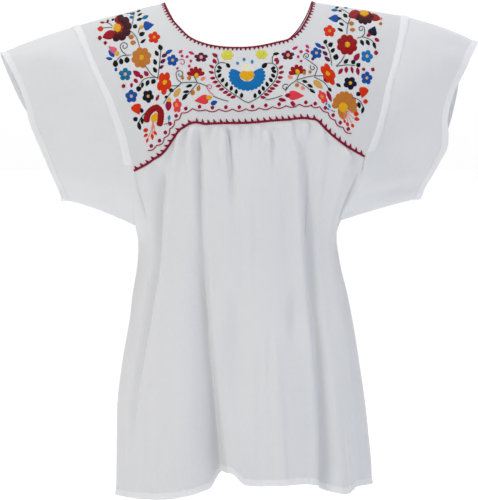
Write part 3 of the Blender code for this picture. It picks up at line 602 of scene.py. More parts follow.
def run_down(grid):
    """Distance down from the first row at each point of a sheet."""
    steps = np.linalg.norm(np.diff(grid, axis=0), axis=2)
    return np.concatenate([np.zeros((1, grid.shape[1])), np.cumsum(steps, axis=0)])


def run_up(grid):
    """Distance up from the last row at each point of a sheet."""
    return run_down(grid[::-1])[::-1]


def folded_over(distance, width):
    """One on a fold of a width, zero past its edge."""
    return np.clip((width + FOLD_EDGE / 2 - distance) / FOLD_EDGE, 0, 1)


def hem_raise(rows_up, along):
    """Height of a folded hem at each distance up from its edge, with the line of stitching drawn in."""
    band = HEM_RAISE * folded_over(rows_up, HEM_WIDTH)
    sunk = STITCH_SINK * bump(rows_up - STITCH_LINE, 0.9 * MM)
    rounded = HEM_ROUNDING * bump(rows_up, 0.8 * MM)
    # Puckers come a little unevenly and fade away from the stitches and the edge
    pucker = PUCKER_HEIGHT * np.sin(along / PUCKER_PITCH * 2 * math.pi + 1.7 * np.sin(along * 31))
    near = bump(rows_up - STITCH_LINE, 5 * MM) + 0.6 * bump(rows_up - 3 * MM, 5 * MM)
    flare = HEM_FLARE * np.clip(1 - rows_up / HEM_FLARE_WIDTH, 0, 1)
    return band - sunk - rounded + flare + pucker * near


def fold_raise(from_seam, share):
    """Height of the seam's fold that lies on a sleeve, from the shoulder down to the yoke's corners."""
    ends = np.clip((FOLD_END - np.abs(share)) / FOLD_FADE, 0, 1)
    band = folded_over(from_seam, FOLD_WIDTH)
    near = np.clip(from_seam / (5 * MM), 0, 1)
    crown = FOLD_CROWN * np.sin(np.clip(from_seam / FOLD_WIDTH, 0, 1) * math.pi)
    return (FOLD_RAISE * band * near * (2 - near) + crown * band) * ends


def linear(hex_colour):
    """A colour written as sRGB hex, as the shader reads it."""
    parts = [int(hex_colour[k:k + 2], 16) / 255 for k in (1, 3, 5)]
    return tuple(p / 12.92 if p <= 0.04045 else ((p + 0.055) / 1.055) ** 2.4 for p in parts)


def add_piece(name, points, faces, cloth_places, finishes, kinds):
    """A smooth mesh that rides with the blouse.

    cloth_places holds a place on the flat cloth for each face corner, and kinds the number of each face's finish.
    """
    mesh = bpy.data.meshes.new(name)
    mesh.from_pydata(points.tolist(), [], faces.tolist())
    layer = mesh.uv_layers.new(name="Cloth")
    layer.data.foreach_set("uv", cloth_places.reshape(-1).astype(np.float32))
    for finish in finishes:
        mesh.materials.append(finish)
    mesh.polygons.foreach_set("material_index", kinds.astype(np.int32))
    mesh.shade_smooth()
    mesh.set_sharp_from_angle(angle=math.radians(60))
    made = bpy.data.objects.new(name, mesh)
    bpy.context.scene.collection.objects.link(made)
    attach(made, "root")
    return made


def shell(name, grid, direction, closed, lift, doubled, finishes):
    """A thin sheet with two faces and rims, its flat width and length, and its area.

    doubled says where the cloth is folded over. The finishes are for single cloth, doubled cloth and the inside.
    """
    outer = grid + direction * (WALL + lift)[..., None]
    inner = outer - direction * CLOTH_THICKNESS
    rows, columns = grid.shape[:2]
    wrap = np.concatenate([outer, outer[:, :1]], axis=1) if closed else outer
    across, down = run_down(wrap.transpose(1, 0, 2)).T, run_down(wrap)
    place = np.stack([np.broadcast_to(across[rows // 2], across.shape), down], axis=-1)
    row, column = np.arange(rows - 1), np.arange(wrap.shape[1] - 1)
    r, c = np.meshgrid(row, column, indexing="ij")
    corners = [(r, c), (r, c + 1), (r + 1, c + 1), (r + 1, c)]
    quads = np.stack([i * columns + j % columns for i, j in corners], -1).reshape(-1, 4)
    spots = np.stack([place[i, j] for i, j in corners], -2).reshape(-1, 4, 2)
    size = rows * columns
    # Rims close the sheet at its first and last row and, where it is open, its first and last column
    rim_lines = [(0 * column, column, 0, 1, True), (0 * column + rows - 1, column, 0, 1, False)]
    if not closed:
        rim_lines += [(row, 0 * row, 1, 0, False), (row, 0 * row + columns - 1, 1, 0, True)]
    rims, rim_spots = [], []
    for i, j, di, dj, backward in rim_lines:
        a, b = i * columns + j % columns, (i + di) * columns + (j + dj) % columns
        rim = np.stack([a, b, b + size, a + size], -1)
        spot = np.stack([place[i, j], place[i + di, j + dj], place[i + di, j + dj], place[i, j]], 1)
        rims.append(rim[:, ::-1] if backward else rim)
        rim_spots.append(spot[:, ::-1] if backward else spot)
    points = np.concatenate([outer.reshape(-1, 3), inner.reshape(-1, 3)])
    faces = np.concatenate([quads, quads[:, ::-1] + size, *rims])
    kinds = doubled.reshape(-1)[faces % size].all(axis=1).astype(int)
    kinds[len(quads):2 * len(quads)] = 2
    places = np.concatenate([spots, spots[:, ::-1], *rim_spots])
    turn = np.cross(wrap[1:, 1:] - wrap[:-1, :-1], wrap[1:, :-1] - wrap[:-1, 1:])
    if np.einsum("ijk,ijk->", turn, direction[:-1, :len(column)]) < 0:
        faces, places = faces[:, ::-1], places[:, ::-1]
    made = add_piece(name, points, faces, places, finishes, kinds)
    panels = np.linalg.norm(np.cross(wrap[1:, :-1] - wrap[:-1, :-1], wrap[:-1, 1:] - wrap[:-1, :-1]), axis=2)
    return made, across[:, -1].max(), down[-1].max(), float(panels.sum())


# Threads of the embroidery: sRGB hex of the dyed cotton
THREADS = {
    "crimson": "#960838", "red": "#940814", "dark red": "#8C0812", "maroon": "#3A0612", "orange": "#CE2E06",
    "apricot": "#E88C3A", "gold": "#DCA616", "wheat": "#CDA050", "straw": "#E4D45A", "tan": "#B8722E",
    "sand": "#D6B080", "lime": "#D2D050", "cream": "#E2E0CA", "leaf green": "#04090A", "stem green": "#36403C",
    "teal": "#0A6696", "royal blue": "#0E4A9C", "bright blue": "#066CB0", "sky blue": "#3F86B4", "navy": "#06082C",
    "purple": "#5C0E44", "pink": "#C02A64", "rose": "#D8607C", "coral": "#DC3C48", "blush": "#E48878",
}

# Forms in satin stitch: below 1 the widest part lies toward the foot, height in stitch heights, and sharpness of
# the ends
LEAF_FORM = (0.85, 1.0, 0.7)
KNOT_FORM = (1.0, 2.4, 0.7)
BUD_FORM = (0.52, 1.6, 0.95)
SCALLOP_KNOT_FORM = (1.0, 1.3, 0.7)

# Heights of petals, fans, bands and hearts in stitch heights, and a heart's width as a share of its flower's
PETAL_HEIGHT = 1.3
FAN_HEIGHT = 1.2
HEART_HEIGHT = 2.2
HEART_SHARE = 0.3

# How deep the gaps between a flower's petals go: with five petals, and with more
FIVE_PETAL_NOTCH = 0.34
MANY_PETAL_NOTCH = 0.2

# The embroidery's tables are in mm, seen from the front, and turns are in degrees from the viewer's right.
# Leaves, petals and small stitches by thread: x, height, turn of the tip, length, width
LEAVES = {
    "leaf green": [
        (-176, -27, 40, 5, 3), (-170, -89, 100, 10, 7), (-162, -86, 100, 9, 6), (-154, -84, 95, 9, 7),
        (-144, -37, 60, 7, 6), (-140, -15, 25, 6, 3), (-138, -27, 20, 9, 4), (-138, -20, 30, 8, 3),
        (-137, -124, 260, 8, 7), (-136, -174, 105, 12, 5), (-134, -48, 25, 9, 6), (-132, -119, 260, 8, 4),
        (-132, -167, 95, 10, 4), (-132, -58, 40, 9, 4), (-125, -116, 250, 9, 5), (-117, -114, 235, 8, 6),
        (-115, -98, 120, 9, 5), (-115, -87, 110, 9, 5), (-113, -75, 120, 9, 5), (-108, -67, 115, 9, 6),
        (-99, -135, 30, 5, 4), (-92, -126, -20, 7, 5), (-74, -135, 232, 11, 5), (-72, -128, 188, 9, 4),
        (-68, -120, 198, 10, 4), (51, -76, 10, 9, 4), (-15, -92, 128, 8, 5), (35, -92, 42, 10, 6),
        (90, -114, -15, 8, 4), (97, -120, -30, 9, 4), (100, -127, -35, 10, 4), (118, -112, -50, 7, 4),
        (119, -59, 60, 7, 5), (124, -125, -50, 7, 4), (126, -63, 45, 8, 6), (129, -71, 50, 8, 5),
        (133, -80, 75, 9, 7), (137, -10, 20, 6, 3), (139, -26, 0, 7, 4), (140, -42, 150, 9, 4), (141, -15, -10, 6, 3),
        (142, -34, 150, 8, 4), (147, -86, 45, 9, 5), (148, -22, -45, 8, 5), (157, -87, 45, 7, 6),
        (164, -91, 45, 7, 6), (164, -146, -75, 9, 5), (169, -153, 255, 10, 4), (170, -60, -65, 9, 5),
        (178, -60, -60, 9, 5), (187, -64, -70, 10, 4),
    ],
    "crimson": [
        (-141, -113, -45, 8, 5), (-140, -103, 142, 13, 7), (-134, -107, 140, 7, 5), (-127, -103, 130, 9, 6),
        (-147, -119, 265, 7, 4), (-111, -136, 65, 10, 4), (-96, -147, 268, 15, 8), (-33, -78, 150, 9, 5),
        (-34, -86, 112, 7, 4.5), (51, -84, 42, 7, 4.5), (59, -139, -10, 11, 5), (67, -133, 180, 10, 6),
        (123, -134, -68, 17, 5), (139, -100, 235, 10, 5), (147, -98, 268, 9, 5), (155, -98, 280, 10, 4),
        (162, -80, 55, 13, 7), (163, -100, 278, 11, 5), (180, -49, 30, 8, 5), (184, -97, 60, 6, 5),
        (191, -56, -30, 8, 5),
    ],
    "red": [
        (-191, -31, 175, 7, 3), (-180, -49, 200, 20, 12), (-169, -27, 100, 12, 9), (161, -20, 200, 19, 12),
        (189, -24, -14, 19, 10),
    ],
    "orange": [
        (-193, -40, 180, 9, 7), (-127, -187, 215, 7, 4), (-125, -194, 250, 7, 3), (-118, -189, 275, 9, 4),
        (-114, -184, -50, 7, 4), (144, -168, -75, 6, 3), (148, -172, -75, 7, 4), (155, -174, -60, 6, 4),
        (161, -165, -10, 8, 5),
    ],
    "gold": [(-115, -163, 66, 15, 8.5), (-95, -139, 85, 7, 5)],
    "wheat": [(-84, -129, 56, 15, 7), (108, -118, -42, 17, 8)],
    "cream": [(11, -96, 90, 13, 15)],
    "tan": [(-63, -129, 75, 8, 6), (-55, -123, 80, 9, 5), (141, -154, 98, 24, 12)],
    "blush": [(-117, -175, 80, 8, 4), (-49, -110, 30, 8, 5), (70, -108, -20, 8, 5), (87, -123, -30, 7, 5)],
    "navy": [(-141, -165, 40, 7, 6), (-133, -153, 118, 8, 5), (136, -119, -35, 8, 4), (163, -131, 220, 7, 6)],
    "teal": [
        (-150, -24, 175, 6, 4), (-149, -19, 180, 7, 3), (-130, -24, 25, 10, 5), (133, -14, 180, 10, 4),
        (150, -10, 0, 6, 3),
    ],
    "royal blue": [
        (-179, -82, 168, 10, 4), (-176, -75, 132, 13, 6), (-169, -97, 90, 6, 4), (-96, -73, 28, 11, 5),
        (-34, -143, 22, 10, 6), (109, -64, 145, 11, 5),
    ],
    "sky blue": [
        (-95, -163, 80, 7, 4), (-2, -89, 120, 5, 4), (18, -87, 90, 6, 4), (123, -147, 120, 7, 3),
        (119, -144, 60, 5, 2.5), (121, -151, -30, 6, 2.5),
    ],
    "purple": [
        (-106, -94, 40, 8, 4), (-104, -86, 38, 9, 5), (-102, -78, 30, 9, 5), (101, -83, -50, 5, 4),
        (115, -67, 160, 8, 4), (118, -75, 140, 9, 5), (121, -83, 140, 10, 5),
    ],
    "pink": [
        (-84, -96, 40, 5, 3), (-80, -73, 35, 7, 4), (-71, -80, 20, 5, 4), (-65, -75, -25, 9, 4), (77, -68, 28, 9, 4),
        (94, -72, -40, 7, 4), (94, -66, -45, 7, 4),
    ],
}

# Round knots and flower hearts by thread: x, height, turn, length, width
KNOTS = {
    "gold": [
        (-169, -39, 30, 12, 12), (-168, -75, -40, 7, 6), (-135, -38, 0, 6, 5), (-101, -115, 70, 8, 6),
        (-58, -106, 80, 8, 6), (-41, -136, 5, 9, 6), (80, -101, -60, 9, 6), (121, -103, -60, 8, 5),
        (142, -149, 100, 15, 13), (175, -18, 0, 14, 9),
    ],
    "apricot": [(-85, -146, 88, 7, 4), (113, -135, -62, 7, 4)],
    "crimson": [(-158, -120, 30, 6, 5), (74, -145, 80, 6, 5), (171, -97, 0, 5, 4), (189, -74, 0, 6, 6)],
    "orange": [(-127, -180, 20, 7, 5), (160, -158, 0, 7, 6), (173, -141, 0, 7, 6)],
    "pink": [
        (-78, -79, 0, 4, 4), (-68, -93, 0, 4, 4), (-66, -86, 0, 4, 4), (81, -80, 0, 4, 4), (85, -86, 0, 4, 3),
        (85, -73, 0, 5, 4),
    ],
    "red": [(-193, -53, 0, 6, 6), (-185, -60, 0, 5, 5), (-183, -29, 0, 4, 4)],
    "sky blue": [(7, -84, 90, 5, 4)],
    "blush": [(198, -26, 0, 4, 4)],
    "tan": [
        (-149, -52, 0, 8, 6), (-146, -60, 0, 8, 6), (-77, -109, 80, 5, 4), (-68, -109, 80, 7, 5), (79, -119, 0, 6, 5),
        (89, -102, 0, 5, 5), (97, -101, 90, 5, 4), (156, -33, 0, 7, 6), (157, -42, 0, 8, 5), (197, -33, 0, 5, 4),
    ],
}

# Closed buds by thread: x, height, turn of the tip, length, width
BUDS = {
    "royal blue": [(-125, -36, 8, 15, 12), (131, -26, 180, 15, 10)],
    "navy": [(186, -43, 65, 14, 12)],
    "rose": [(-175, -69, 142, 14, 9)],
    "coral": [(-51, -139, 188, 20, 12), (78, -133, -2, 22, 12)],
    "orange": [(-139, -152, -65, 16, 13), (170, -129, 255, 16, 12)],
    "gold": [(7.8, -107, -65, 15.5, 11.5), (14.2, -107, -115, 15.5, 11.5)],
}

# Open flowers: x, height, width, height of the flower, petals, turn of the first petal, tilt, thread, heart's thread
FLOWERS = [
    (-117, -53, 18, 18, 5, 80, 0, "orange", "apricot"), (-134, -81, 29, 31, 8, 60, 0, "tan", "gold"),
    (-156, -104, 19, 19, 5, 90, 0, "teal", "sand"), (-91, -85, 17, 17, 5, 80, 0, "royal blue", "sand"),
    (-52, -81, 20, 14, 5, 90, 0, "purple", "sand"), (-147, -134, 18, 19, 5, 95, 0, "royal blue", "sand"),
    (-124, -134, 17, 19, 5, 60, 0, "navy", "gold"), (-16, -78, 19, 15.5, 6, 0, 0, "lime", "straw"),
    (31, -77, 18.5, 14.5, 6, 0, 0, "lime", "straw"), (67, -78, 19, 14, 5, 90, 0, "purple", "gold"),
    (106, -75, 17, 17, 5, 100, 0, "royal blue", "sand"), (149, -63, 31, 31, 8, 20, 0, "red", "gold"),
    (125, -44, 18, 18, 5, 85, 0, "orange", "apricot"), (176, -79, 18, 19, 5, 70, 0, "bright blue", "sand"),
    (152, -116, 20, 19, 5, 60, 0, "navy", "gold"), (175, -109, 17, 19, 5, 80, 0, "royal blue", "sand"),
    (-102, -116, 21, 34, 5, 62, -6, "orange", "gold"), (122, -104, 19, 34, 5, 60, 24, "orange", "gold"),
    (-84, -147, 13, 21, 5, 88, 0, "coral", "apricot"), (114, -135, 12, 21, 5, 88, 26, "coral", "apricot"),
]

# Fans: x, height, half width, half height, from and to in degrees, lobes of the rim, open share, depth of the lobes,
# thread
FANS = [
    (11, -106, 26, 21.5, 148, 396, 17, 0.35, 0.07, "bright blue"), (144, -149, 18.5, 23, -28, 186, 9, 0, 0.06, "tan"),
    (-168, -39, 20, 20, -118, 100, 6, 0.36, 0.12, "maroon"), (-168, -39, 8.5, 8.5, -150, 120, 5, 0, 0.08, "dark red"),
    (-59, -107, 13.5, 14, 4, 176, 5, 0, 0.2, "red"), (80, -104, 13, 14, 6, 190, 5, 0, 0.22, "red"),
    (175, -14, 17, 21, 205, 338, 5, 0.45, 0.1, "maroon"), (175, -14, 11, 12, 190, 350, 4, 0, 0.08, "dark red"),
]

# Bands of satin stitch, half width in mm, thread and the places they pass through
BANDS = [
    (4.6, "dark red", (-126, -170), (-125, -161), (-119.5, -153), (-112.5, -149.5), (-107, -154.5), (-106.5, -164),
     (-109, -175)),
]

# Stems by thread: the places that each passes through
STEMS = {
    "stem green": [
        ((-152, -42), (-142, -52), (-137, -66)), ((-158, -19), (-146, -17), (-148, -34)),
        ((-139, -47), (-138, -41), (-135, -38)), ((-176, -36), (-182, -32), (-188, -31)), ((-176, -38), (-189, -39)),
        ((-148, -77), (-164, -80), (-169, -86)), ((-155, -77), (-161, -72), (-164, -66)),
        ((-128, -93), (-116, -107), (-111, -109)), ((-111, -108), (-130, -111), (-137, -120)),
        ((-111, -111), (-109, -92), (-107, -68)), ((-94, -120), (-85, -120), (-79, -116), (-84, -111), (-86, -104)),
        ((-79, -116), (-64, -115), (-49, -118), (-42, -121)), ((-62, -106), (-57, -115)),
        ((-57, -117), (-64, -125), (-73, -136)), ((-81, -119), (-91, -127), (-103, -144)),
        ((-35, -134), (-25, -138), (-14, -141)), ((-124, -153), (-135, -166), (-137, -174)),
        ((-102, -172), (-96, -170), (-95, -166)), ((-28, -90), (-28.5, -85), (-31, -80)),
        ((45.5, -89), (45.5, -82), (48, -77)), ((36, -139), (47, -137), (59, -133)),
        ((119, -61), (125, -76), (127, -92)), ((156, -22), (150, -38), (149, -48)), ((142, -27), (151, -34)),
        ((142, -12), (149, -16), (154, -19)), ((170, -52), (174, -46), (174, -41)),
        ((163, -54), (170, -52), (182, -56), (189, -62)), ((133, -93), (149, -91), (159, -92)),
        ((145, -78), (140, -86), (133, -93)), ((103, -107), (107, -96), (99, -88), (90, -82)),
        ((82, -100), (79, -111), (69, -119), (63, -127)), ((79, -112), (97, -107), (116, -106)),
        ((79, -114), (87, -118), (98, -126)), ((103, -108), (117, -116), (122, -123)),
        ((155, -135), (165, -140), (170, -149)), ((125, -153), (131, -155)),
    ],
    "rose": [((-34, -133), (-41, -127), (-44, -122))],
    "blush": [
        ((144, -153), (157, -157)), ((144, -154), (151, -159), (157, -164)), ((144, -155), (150, -163), (154, -171)),
        ((144, -155), (148, -168)), ((143, -155), (144, -166)), ((-117, -168), (-119, -179), (-124, -191)),
        ((-117, -168), (-118, -186)), ((-117, -168), (-114, -182)),
    ],
}

# Curled ends of stems by thread: x, height, radius, start in degrees, turn in degrees
CURLS = {
    "stem green": [
        (-158, -65, 6, 190, -430), (-80.5, -104, 5.8, 185, -400), (169.5, -41, 4.8, 0, 400),
        (92.6, -79, 4.4, 215, -400), (101, -95, 4, 130, 330), (63, -122, 4.8, 40, 360),
    ],
    "pink": [(-78, -88, 5, 140, -330)],
    "rose": [(-40, -122, 4.4, 180, -360)],
}

# The garland round the middle fan: its stem's left and right halves from the tip up, and the leaves on each side
# of the stem: thread, how many, share of the way of the first and last, degrees between leaf and stem at the tip and
# at the top, length, width
GARLAND = {
    -1: [(13, -143), (6, -140), (-2, -134.5), (-12, -128), (-21, -121), (-28, -113), (-32, -106), (-33, -98),
         (-30, -91), (-24, -88), (-18, -89)],
    1: [(13, -143), (22, -138.5), (31, -132), (40, -123), (48, -114), (52, -106), (53, -99), (50, -92), (45, -89),
        (39, -89)],
}
GARLAND_LEAVES = [
    ("crimson", 10, 0.21, 0.86, 38, 74, 8, 4), ("leaf green", 8, 0.13, 0.84, -56, -86, 7.4, 4.4),
]

# The scalloped line above the yoke seam: distance from the seam and length of one scallop, both in mm at shares of
# the way from the wearer's left, and the shares where the line ends
SCALLOP_INSET = [
    (0, 20.5), (0.7, 20.5), (0.735, 19.5), (0.765, 16), (0.79, 13), (0.84, 14), (0.88, 16.5), (1, 17.5),
]
SCALLOP_PITCH = [(0, 13.4), (0.23, 13.4), (0.3, 18.4), (0.7, 18.4), (0.77, 13.4), (1, 13.4)]
SCALLOP_ENDS = (0.075, 0.935)
SCALLOP_SAMPLES = 1200
SCALLOP_SAG = 3.2 * MM
SCALLOP_THICKNESS = 1.5 * MM
SCALLOP_KNOT = (6.0, 4.8)
SCALLOP_KNOT_TURN = 75
SCALLOP_KNOT_RISE = 2.6 * MM

# Crocheted picots, mm: pitch, half width at the foot and at the tip, how far the tip leans aside, reach and height
NECK_PICOT = (5.9, 2.1, 0.8, 0, 4.6, 1.25)
SEAM_PICOT = (8.4, 3.3, 0.5, -2.7, 7.5, 1.25)
SEAM_CORD_INSET = 1.4 * MM

# Edgings: piece, CAD node, and span of the yoke's edge, or none for the neckline
NECK_SAMPLES = 1400
EDGINGS = [
    ("crochet_neck_edging", "neck_edging", None), ("crochet_front_edging", "front_yoke_edging", 1),
    ("crochet_back_edging", "back_yoke_edging", 4),
]

# Studio, metres: where the camera and lamps look, each lamp's place, size, setting, share of it and colour, and how
# wide in degrees the light from above spreads
LOOK_AT = Vector((0, 0, -0.35))
CAMERA_PLACE = (0, -2.6, -0.17)
CAMERA_LENS = 132.15
LAMPS = [
    ("Key light", (-2.5, -2.2, 0.9), 1.1, "key_power", 1.0, "#FFF6EA"),
    ("Fill light", (2.6, -1.5, 0.4), 1.8, "fill_power", 1.0, "#EDF1FF"),
    ("Back light", (0.6, 2.6, 1.2), 2.0, "key_power", 0.4, "#FFFFFF"),
]
OVERHEAD_SPREAD = 40
FLOOR_RINGS = [0, 1, 3, 9, 30]
FLOOR_SIDES = 96


def add_node(tree, kind, inputs, **settings):
    """A node with its settings; each input is a value, or the socket of another node that feeds it."""
    made = tree.nodes.new(kind)
    for name, value in settings.items():
        setattr(made, name, value)
    for socket, value in inputs.items():
        if isinstance(value, bpy.types.NodeSocket):
            tree.links.new(value, made.inputs[socket])
        else:
            made.inputs[socket].default_value = value
    return made


FIBRE_IOR = 1.53
SHEEN_ROUGHNESS = 0.5


def new_finish(name, roughness, specular, sheen=0.0):
    """A material with its shader, constants on the shader's own sockets."""
    made = bpy.data.materials.new(name)
    made.use_nodes = True
    shader = made.node_tree.nodes["Principled BSDF"]
    for socket, value in (
        ("Roughness", roughness), ("IOR", FIBRE_IOR), ("Specular IOR Level", specular), ("Sheen Weight", sheen),
        ("Sheen Roughness", SHEEN_ROUGHNESS),
    ):
        shader.inputs[socket].default_value = value
    return made, made.node_tree, shader


def coloured(tree, shader, factor, first, second):
    """Feeds the shader's colour with a mix of two."""
    tone = add_node(tree, "ShaderNodeMix", {
        "Factor": factor, "A": (*first, 1.0), "B": (*second, 1.0),
    }, data_type="RGBA")
    tree.links.new(tone.outputs["Result"], shader.inputs["Base Color"])


def bumped(tree, shader, layers):
    """Feeds the shader's normal with bumps on bumps: height, distance and strength of each."""
    bumps = None
    for height, distance, strength in layers:
        inputs = {"Height": height.outputs[0], "Distance": distance, "Strength": strength}
        if bumps:
            inputs["Normal"] = bumps.outputs["Normal"]
        bumps = add_node(tree, "ShaderNodeBump", inputs)
    tree.links.new(bumps.outputs["Normal"], shader.inputs["Normal"])


def wave_scale(pitch):
    """The scale at which a wave texture repeats once in each pitch."""
    return math.pi / 10 / pitch


def cotton_muslin(name, colours, shade):
    """Plain woven cotton, washed and ironed: matt, a soft mottle of thin and thick yarn, faint crumples.

    shade is the finish's share of the cloth's colour.
    """
    made, tree, shader = new_finish(name, roughness=0.88, sheen=0.12, specular=0.3)
    flat = add_node(tree, "ShaderNodeUVMap", {}, uv_map="Cloth").outputs["UV"]
    place = add_node(tree, "ShaderNodeTexCoord", {}).outputs["Object"]
    # Yarns are 0.4 mm apart; drawn 1.7 mm apart, so that the weave shows
    weft, warp = (add_node(tree, "ShaderNodeTexWave", {
        "Vector": flat, "Scale": wave_scale(colours.weave_pitch), "Distortion": 1.6, "Detail": 2.0, "Detail Scale": 1.3,
    }, bands_direction=direction) for direction in "XY")
    weave = add_node(tree, "ShaderNodeMath", {0: weft.outputs["Fac"], 1: warp.outputs["Fac"]}, operation="MULTIPLY")
    # Slubs in the yarn, crumples and the sag of the cloth are drawn out downward, as they hang
    hung = add_node(tree, "ShaderNodeMapping", {"Vector": place, "Scale": (1.0, 1.0, 0.4)}).outputs["Vector"]
    slub, crumple, sag = (
        add_node(tree, "ShaderNodeTexNoise", {"Vector": hung, "Scale": scale, "Detail": detail})
        for scale, detail in ((420.0, 3.0), (42.0, 4.0), (13.0, 2.0))
    )
    mottle = add_node(tree, "ShaderNodeMath", {0: slub.outputs["Fac"], 1: sag.outputs["Fac"]}, operation="MULTIPLY")
    coloured(tree, shader, mottle.outputs[0], (min(0.93, c * shade) for c in colours.cotton),
             (min(0.9, c * shade) for c in colours.cotton_thin))
    bumped(tree, shader, (
        (weave, 0.16 * MM, 0.35), (slub, 0.2 * MM, 0.25), (crumple, 1.6 * MM, 0.4), (sag, 4 * MM, 0.35),
    ))
    return made


def dyed_thread(name, colour, pitch, roughness=0.5, twist=0.0):
    """Dyed cotton thread: the strands catch soft light along their crowns and stay dark between."""
    made, tree, shader = new_finish(name, roughness, specular=0.08)
    flat = add_node(tree, "ShaderNodeUVMap", {}, uv_map="Cloth").outputs["UV"]
    laid = add_node(tree, "ShaderNodeMapping", {"Vector": flat, "Rotation": (0.0, 0.0, twist)}).outputs["Vector"]
    strands = add_node(tree, "ShaderNodeTexWave", {
        "Vector": laid, "Scale": wave_scale(pitch), "Distortion": 0.8, "Detail": 1.0,
    }, bands_direction="X")
    fibre = add_node(tree, "ShaderNodeTexNoise", {"Vector": flat, "Scale": 900.0, "Detail": 3.0})
    depth = add_node(tree, "ShaderNodeMath", {0: strands.outputs["Fac"], 1: fibre.outputs["Fac"]}, operation="MULTIPLY")
    # Painted highlight and shade: the crowns of the strands are drawn lighter and the grooves between them darker
    coloured(tree, shader, depth.outputs[0], (c * 0.7 for c in colour), (min(1.0, c * 1.12 + 0.004) for c in colour))
    bumped(tree, shader, ((depth, 0.3 * MM, 0.6),))
    return made


# Stitched shapes, each a small domed grid on the cloth, seen from the front in mm

def turned_by(across, up, angle):
    """Local places turned by an angle in degrees."""
    c, s = math.cos(math.radians(angle)), math.sin(math.radians(angle))
    return across * c - up * s, across * s + up * c


def leaf_grid(length, width, turn, form, stitch):
    """A leaf, bud or knot in satin stitch: places, heights and thread places. stitch is the height of a stitch."""
    belly, height, sharpness = form
    s, v = np.meshgrid(np.linspace(0, 1, 13), np.linspace(-1, 1, 9), indexing="ij")
    half = width * 0.58 * np.sin(math.pi * s**belly) ** sharpness
    x, z = turned_by((s - 0.5) * length, v * half, turn)
    dome = np.sqrt(np.clip(1 - v**2, 0, 1)) * np.sin(math.pi * np.clip(s, 0.03, 0.97)) ** 0.4
    groove = 0.35 * bump(v, 0.16)
    slant = 0.35 * np.abs(v) * half
    return x, z, stitch * height * (dome - groove), np.stack([s * length + slant, v * half], -1)


def flower_grid(width, height, petals, turn, lift, notch, open_share=0.0, start=0.0, sweep=360.0):
    """A round flower or fan in radiating stitches, its rim cut into lobes: places, heights and thread places.

    The first petal of a whole flower points to turn. A fan begins at start and sweeps on, and its middle may be open.
    """
    steps = max(32, petals * 8)
    a, r = np.meshgrid(np.radians(start + sweep * np.linspace(0, 1, steps + 1)), np.linspace(0, 1, 8), indexing="ij")
    first, last = math.radians(start), math.radians(start + sweep)
    if sweep == 360.0:
        lobe = np.abs(np.cos(petals / 2 * (a - math.radians(turn))))
        ends = 1.0
    else:
        lobe = np.abs(np.sin(petals * math.pi * (a - first) / math.radians(sweep)))
        ends = 0.82 + 0.18 * np.clip(np.minimum(a - first, last - a) / 0.22, 0, 1) ** 0.5
    rim = (1 - notch + notch * lobe**0.6) * ends
    reach = open_share + (rim - open_share) * r
    x, z = np.cos(a) * reach * width / 2, np.sin(a) * reach * height / 2
    dome = np.sqrt(np.clip(1 - (2 * r - 1) ** 2 if open_share else 1 - r**2, 0, 1))
    return x, z, lift * dome * (0.55 + 0.45 * lobe**0.7), np.stack([a * width / 2, r * height / 2], -1)


def band_grid(places, half_width, lift):
    """A band of satin stitch along a line: places, heights and thread places."""
    line = through(places, 0.8)
    left = left_of(line)
    from_start = run_length(line)[:, None]
    from_end = np.minimum(from_start, from_start[::-1])
    v = np.linspace(-1, 1, 11)[None, :]
    half = half_width * (1 - (1 - np.clip(from_end / 3.5, 0, 1)) ** 2) ** 0.5 * (1 + 0.05 * np.sin(from_end * 1.9))
    x, z = line[:, :1] + left[:, :1] * v * half, line[:, 1:] + left[:, 1:] * v * half
    height = lift * np.sqrt(np.clip(1 - v**2, 0, 1)) * np.clip(from_end / 1.5, 0, 1) ** 0.5
    return x, z, height, np.stack([v * half, from_start + 0 * v], -1)


# How far the rim of a stitched shape lies in the cloth, mm
RIM_SINK = 0.12


class Needlework:
    """Collects stitched shapes as one mesh with a thread for each."""

    def __init__(self):
        self.points, self.faces, self.places, self.kinds, self.threads = [], [], [], [], []
        self.count = 0

    def add_grid(self, points, places, thread):
        """One grid of points, stitched in a thread."""
        rows, columns = points.shape[:2]
        r, c = np.meshgrid(np.arange(rows - 1), np.arange(columns - 1), indexing="ij")
        corners = [(r, c), (r + 1, c), (r + 1, c + 1), (r, c + 1)]
        faces = np.stack([i * columns + j for i, j in corners], -1).reshape(-1, 4)
        if thread not in self.threads:
            self.threads.append(thread)
        self.points.append(points.reshape(-1, 3))
        self.faces.append(faces + self.count)
        self.places.append(np.stack([places[i, j] for i, j in corners], -2).reshape(-1, 4, 2))
        self.kinds.append(np.full(len(faces), self.threads.index(thread)))
        self.count += rows * columns

    def stitch(self, grid, x, z, thread):
        """One shape sewn at a place seen from the front in mm, its rim a little sunk in the cloth."""
        across, up, lift, places = grid
        points = front_face((x + across) * MM, (z + up) * MM, (lift - RIM_SINK) * MM)
        self.add_grid(points, places * MM, thread)

    def finish(self, name, finishes, slot):
        """The joined mesh."""
        points, faces = np.concatenate(self.points), np.concatenate(self.faces)
        used = [finishes[thread] for thread in self.threads]
        return add_piece(name, points, faces, np.concatenate(self.places), used, np.concatenate(self.kinds))


def through(places, step):
    """A smooth line through places, a point at each step."""
    places = np.array(places, float)
    if len(places) > 2:
        at = run_length(places)
        fine = np.linspace(0, at[-1], 80)
        places = np.stack([smooth(np.stack([at, column], 1), fine) for column in places.T], -1)
    return even(places, max(2, int(run_length(places)[-1] / step)))


def left_of(line):
    """Direction to the left of a flat line's way at each of its points."""
    along = unit(np.gradient(line, axis=0))
    return np.stack([-along[:, 1], along[:, 0]], -1)


